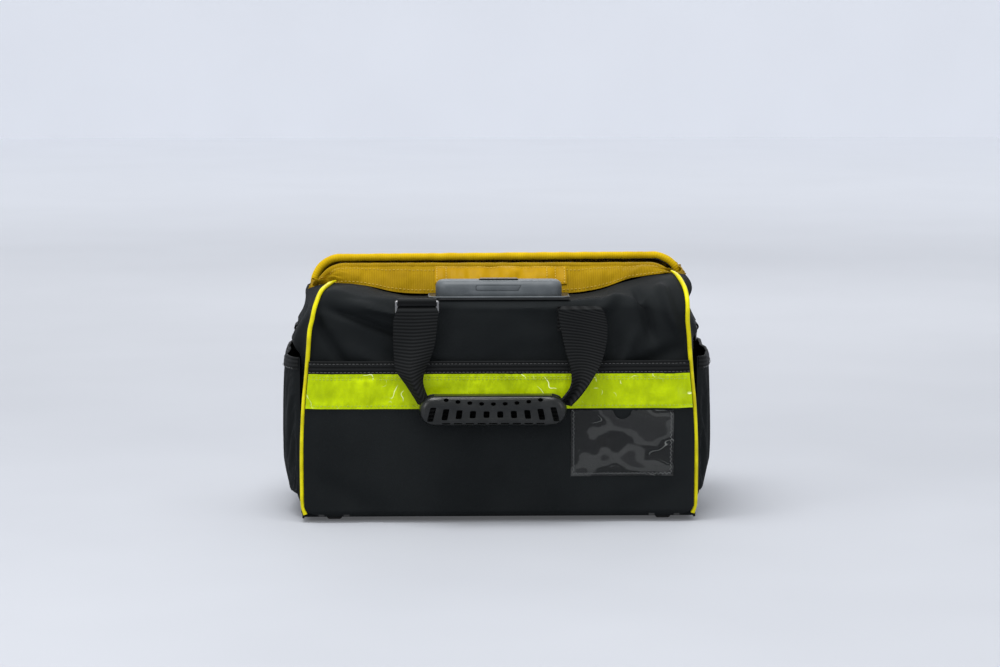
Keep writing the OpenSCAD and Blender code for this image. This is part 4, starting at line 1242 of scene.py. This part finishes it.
grip = block("front_grip_shell", grip_low, grip_high)
round_edges(grip, lambda a, b: abs(a.y - b.y) > 0.02, 0.0162, 9)
round_edges(grip, lambda a, b: abs(a.y - b.y) < 1e-5, 0.0085, 6)
face_y, back_y = grip_low.y, grip_high.y
cutters = [block("room", (grip_low.x + 0.003, grip_mid.y - 0.0092, grip_low.z + 0.0035),
                 (grip_high.x - 0.003, grip_mid.y + 0.0092, grip_high.z - 0.0045))]
for k in range(10):
    i = k - 4.5
    x, tall = grip_mid.x + 0.0139 * i, 0.0074 + 0.00045 * i * i
    window_cut = block("window_cut", (x - 0.0031, face_y - 0.01, grip_mid.z - 0.0034 - tall / 2),
                       (x + 0.0031, back_y + 0.01, grip_mid.z - 0.0034 + tall / 2))
    round_edges(window_cut, lambda a, b: abs(a.y - b.y) > 0.02, 0.0014, 3)
    for point in window_cut.data.vertices:
        point.co.x += (point.co.z - grip_mid.z) * -0.05 * i
    cutters.append(window_cut)
for k in range(9):
    i = k - 4
    cutters.append(peg((grip_mid.x + 0.0121 * i, face_y, grip_high.z - 0.0088 + 0.00028 * i * i),
                       0.0021, 0.03, 1.25))
    cutters.append(block("slit_cut", (grip_mid.x + 0.0121 * i - 0.0042, face_y - 0.01, grip_low.z + 0.0028),
                         (grip_mid.x + 0.0121 * i + 0.0042, face_y + 0.012, grip_low.z + 0.0042)))
for x0, x1 in ((grip_low.x + 0.001, grip_low.x + 0.0155), (grip_high.x - 0.0155, grip_high.x - 0.001)):
    cutters.append(block("strap_cut", (x0, grip_mid.y - 0.0075, grip_mid.z),
                         (x1, grip_mid.y + 0.0075, grip_high.z + 0.01)))
carve(grip, *cutters)
apply(grip, "BEVEL", width=0.00045, segments=2, limit_method="ANGLE", angle_limit=math.radians(38))
for point in grip.data.vertices:
    point.co.z = grip_mid.z + 0.0045 + 0.9 * (point.co.z - grip_mid.z)
rear_grip = turned(grip, "rear_grip_shell")
for piece, body, node in ((grip, "handle_front", "front_handle_grip"),
                          (rear_grip, "handle_rear", "rear_handle_grip")):
    dress(piece, moulded, body, "black_plastic", node, angle=35)


# ---- Ring tabs and sewn ends: webbing that holds the handles to the bag ----
# At one end a tab rolls round the ring's upper bar. At the other the strap is sewn down flat.
def tab_path(t, tail, wrap, reach):
    """Out from a sewn tail and round a bar at the origin: t from 0 to 1 gives (away from the wall, up)."""
    run = [tail, math.radians(wrap) * reach]
    s = t * sum(run)
    if s < run[0]:
        return (-reach, s - run[0])
    angle = (s - run[0]) / reach
    return (-reach * math.cos(angle), reach * math.sin(angle))


def tab_point(u, v):
    away, up = tab_path(v, 0.033, 300, 0.0023)
    x = -0.085 + (u - 0.5) * 0.04
    return (x, hinge_y - away, hinge_z + up)


ring_tab = cloth_grid("front_ring_tab", 24, 70, (0.04, 0.046), tab_point)
thicken(ring_tab, 0.0021)
rear_tab = turned(ring_tab, "rear_ring_tab")
root = cloth_grid("front_strap_root", 30, 20, (0.05, 0.026),
                  lambda u, v: (0.06 + 0.05 * u, -0.1118 - 0.0004 * math.sin(math.pi * u), 0.2 + 0.026 * v))
thicken(root, 0.0018)
rear_root = turned(root, "rear_strap_root")


def box_stitch(name, left, right, low, high, y):
    """A sewn box with a cross in it."""
    ways = [((left, low), (right, low)), ((right, low), (right, high)), ((right, high), (left, high)),
            ((left, high), (left, low)), ((left, low), (right, high)), ((left, high), (right, low))]
    rows = [stitches(f"{name}_{k}", [(a[0] + (b[0] - a[0]) * j / 12, y, a[1] + (b[1] - a[1]) * j / 12)
                                     for j in range(13)], (0, -1, 0), 0.0027, 0.0011, 0.0006, black_thread,
                     None) for k, (a, b) in enumerate(ways)]
    return joined(name, *rows)


tab_box = box_stitch("front_tab_stitching", -0.1, -0.07, 0.2, 0.221, -0.1131)
root_box = box_stitch("front_root_stitching", 0.064, 0.106, 0.203, 0.223, -0.1126)
for piece in (tab_box, root_box, turned(tab_box, "rear_tab_stitching"), turned(root_box, "rear_root_stitching")):
    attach(piece, "bag")
dress(ring_tab, webbing, "bag", "black_webbing", "handle_ring_tabs")
dress(rear_tab, webbing, "bag", "black_webbing", "handle_ring_tabs")
dress(root, webbing, "bag", "black_webbing", "strap_roots")
dress(rear_root, webbing, "bag", "black_webbing", "strap_roots")


# ---- D-ring tabs: short webbing loops on the ends that hold a steel ring each ----
# Rolled round the ring's bar, with its tail running down against the end panel.
ring_axis_x, ring_axis_z = 0.2115, 0.192


def end_tab_point(u, v):
    away, up = tab_path(v, 0.03, 290, 0.0023)
    y = (u - 0.5) * 0.026
    x = ring_axis_x + away
    return (x, y, ring_axis_z + up)


end_tab = cloth_grid("d_ring_tab_right", 20, 64, (0.026, 0.042), end_tab_point)
thicken(end_tab, 0.0017)
other_end_tab = turned(end_tab, "d_ring_tab_left")
dress(end_tab, webbing, "bag", "black_webbing", "d_ring_tabs")
dress(other_end_tab, webbing, "bag", "black_webbing", "d_ring_tabs")


# ---- Gray trolley grip: a low moulded handle that rests on its bezel in the front shoulder ----
# Two halves of textured plastic. A long shallow recess marks its front, and the release button is on top.
gray_finish, gray_shader, wire = finish_of("gray_textured_plastic", {
    "Roughness": 0.5, "Specular IOR Level": 0.45})
place = wire.node("TexCoord", out=3)
spark = wire.noise(place, 1300, 2)
rub = wire.noise(place, 60, 3)
plug(gray_shader, "Base Color", wire.mix(rub.step(0.35, 0.7), (0.062, 0.072, 0.079), (0.085, 0.096, 0.104)))
plug(gray_shader, "Roughness", 0.42 + 0.2 * rub)
bump(gray_shader, spark, 0.00012)

pull_low, pull_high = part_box("trolley_grip")
key_low, key_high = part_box("release_button")
pull = block("trolley_grip_shell", pull_low, pull_high)
round_edges(pull, lambda a, b: abs(a.z - b.z) > 0.01, 0.012, 6)
round_edges(pull, lambda a, b: a.z > pull_high.z - 1e-5 and b.z > pull_high.z - 1e-5, 0.0068, 5)
recess_z, recess_x = pull_low.z + 0.0088, (-0.024, 0.023)


def lozenge(name, grow, depth):
    """A flat cutter with a slanted right end, sunk into the grip's front."""
    left, right = recess_x[0] - grow, recess_x[1] + grow
    tall = 0.0028 + grow
    shape = block(name, (left, pull_low.y - 0.01, recess_z - tall),
                  (right, pull_low.y + depth, recess_z + tall))
    round_edges(shape, lambda a, b: abs(a.y - b.y) > 0.005 and max(a.x, b.x) < 0, 0.0024, 4)
    for point in shape.data.vertices:
        if point.co.x > 0:
            point.co.x -= 0.0035 * (1 - (point.co.z - recess_z + tall) / (2 * tall))
    return shape


groove = lozenge("groove", 0.0004, 0.0009)
island = lozenge("island", -0.0004, 0.01)
apply(groove, "BOOLEAN", operation="DIFFERENCE", solver="EXACT", object=island)
bpy.data.objects.remove(island)
carve(pull, groove, block("key_hole", (key_low.x - 0.0004, key_low.y - 0.0004, key_low.z - 0.002),
                          (key_high.x + 0.0004, key_high.y + 0.0004, pull_high.z + 0.01)))
apply(pull, "BEVEL", width=0.0003, segments=2, limit_method="ANGLE", angle_limit=math.radians(40))
dress(pull, gray_finish, "trolley_upper", "gray_plastic", "trolley_grip", angle=35)


# The bezel under it is black. A thin gray bead along its front and round its corners is a painted highlight: it
# stands in for the light along the lip.
rim_y, rim_x, rim_z = bezel_low.y + 0.0006, bezel_high.x - 0.0006, bezel_high.z - 0.0002
rim = bead("trolley_bezel_highlight_rim", [(-rim_x, -0.078, rim_z), (-rim_x, -0.09, rim_z), (-rim_x, -0.098, rim_z),
                                 (-rim_x + 0.002, rim_y, rim_z), (-rim_x + 0.01, rim_y, rim_z), (0, rim_y, rim_z),
                                 (rim_x - 0.01, rim_y, rim_z), (rim_x - 0.002, rim_y, rim_z),
                                 (rim_x, -0.098, rim_z), (rim_x, -0.09, rim_z), (rim_x, -0.078, rim_z)], 0.0009)
dress(rim, gray_finish, "bag", "gray_plastic", angle=60)


# ---- Hard parts that are right as they are: they get their finishes ----
# Drawn aluminium tubes, plated steel wire and rod, moulded black plastic and rubber.
aluminium, shader, wire = finish_of("drawn_aluminium", {"Metallic": 1.0, "Roughness": 0.3})
x, y, z = wire.node("TexCoord", out=3).parts()
drawn = wire.noise(wire.node("CombineXYZ", inputs={0: x * 900, 1: y * 900, 2: z * 4}), 1.0, 3)
plug(shader, "Base Color", wire.mix(drawn, (0.58, 0.6, 0.62), (0.7, 0.71, 0.73)))
plug(shader, "Roughness", 0.26 + 0.16 * drawn)
bump(shader, drawn, 0.00004)

steel, shader, wire = finish_of("bright_plated_steel", {"Metallic": 1.0, "Roughness": 0.22})
place = wire.node("TexCoord", out=3)
dull = wire.noise(place, 180, 3)
plug(shader, "Base Color", wire.mix(dull, (0.52, 0.52, 0.53), (0.72, 0.72, 0.73)))
plug(shader, "Roughness", 0.16 + 0.22 * dull)
bump(shader, wire.noise(place, 1200, 2), 0.00003)

dull_steel, shader, wire = finish_of("dull_plated_wire", {"Metallic": 1.0, "Roughness": 0.34})
place = wire.node("TexCoord", out=3)
dull = wire.noise(place, 220, 3)
plug(shader, "Base Color", wire.mix(dull, (0.13, 0.13, 0.135), (0.3, 0.3, 0.305)))
plug(shader, "Roughness", 0.26 + 0.2 * dull)
bump(shader, wire.noise(place, 1200, 2), 0.00003)

hard_black, shader, wire = finish_of("grained_black_plastic", {"Roughness": 0.5, "Specular IOR Level": 0.45})
place = wire.node("TexCoord", out=3)
pebble = wire.node("TexVoronoi", {"feature": "SMOOTH_F1"}, {"Vector": place, "Scale": 700})
scuff = wire.noise(place, 35, 4)
plug(shader, "Base Color", wire.mix(scuff.step(0.45, 0.75), (0.012, 0.013, 0.013), (0.024, 0.025, 0.025)))
plug(shader, "Roughness", 0.42 + 0.25 * scuff)
bump(shader, pebble, 0.00018)

rubber, shader, wire = finish_of("black_rubber", {"Roughness": 0.75, "Specular IOR Level": 0.35})
place = wire.node("TexCoord", out=3)
dust = wire.noise(place, 50, 4)
plug(shader, "Base Color", wire.mix(dust.step(0.4, 0.8), (0.009, 0.009, 0.009), (0.03, 0.029, 0.028)))
plug(shader, "Roughness", 0.66 + 0.25 * dust)
bump(shader, wire.noise(place, 1000, 2), 0.0001)

finishes = {
    aluminium: ("outer_tubes", "lower_tubes", "middle_tubes", "upper_tubes"),
    steel: ("front_collar_frame", "rear_collar_frame", "hinge_bracket_left", "hinge_bracket_right",
            "wheel_axles", "housing_screws", "release_bar", "release_springs"),
    dull_steel: ("front_handle_ring", "rear_handle_ring", "d_ring_left", "d_ring_right"),
    hard_black: ("base_tray", "tube_sockets", "wheel_housing_left", "wheel_housing_right", "wheel_hub_left",
                 "wheel_hub_right"),
    moulded: ("release_button", "trolley_bezel"),
    rubber: ("tyre_left", "tyre_right", "rubber_feet"),
}
for finish, names in finishes.items():
    for name in names:
        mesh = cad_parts[name].data
        mesh.materials.clear()
        mesh.materials.append(finish)


# ---- Base cloth: the underside, one sheet of woven cloth under the moulded tray ----
# It is cut out over the wheel housings and screwed down under the feet.
under_low, under_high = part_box("base_panel")


def under_point(u, v):
    x = under_low.x + 0.001 + u * (under_high.x - under_low.x - 0.002)
    y = under_low.y + 0.001 + v * (under_high.y - under_low.y - 0.002)
    rim = ease(1 - min(u, 1 - u) / 0.02) + ease(1 - min(v, 1 - v) / 0.03)
    return (x, y, under_high.z - 0.0004 - 0.0006 * (1 - min(rim, 1)) - 0.0004 * (1 + sway(x, y, 0, 0.03, 1.0, 4.1)))


under = cloth_grid("base_cloth", 160, 90,
                   (under_high.x - under_low.x, under_high.y - under_low.y), under_point)
housings = [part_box("wheel_housing_left"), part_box("wheel_housing_right")]
under_cut = bmesh.new()
under_cut.from_mesh(under.data)
gone = [f for f in under_cut.faces if any(
    low.x + 0.001 < f.calc_center_median().x < high.x - 0.001 and f.calc_center_median().y < high.y - 0.001
    for low, high in housings)]
bmesh.ops.delete(under_cut, geom=gone, context="FACES")
bmesh.ops.reverse_faces(under_cut, faces=under_cut.faces)
under_cut.to_mesh(under.data)
under_cut.free()
thicken(under, 0.0012)
dress(under, black_cloth, "bag", "black_fabric", "base_panel")
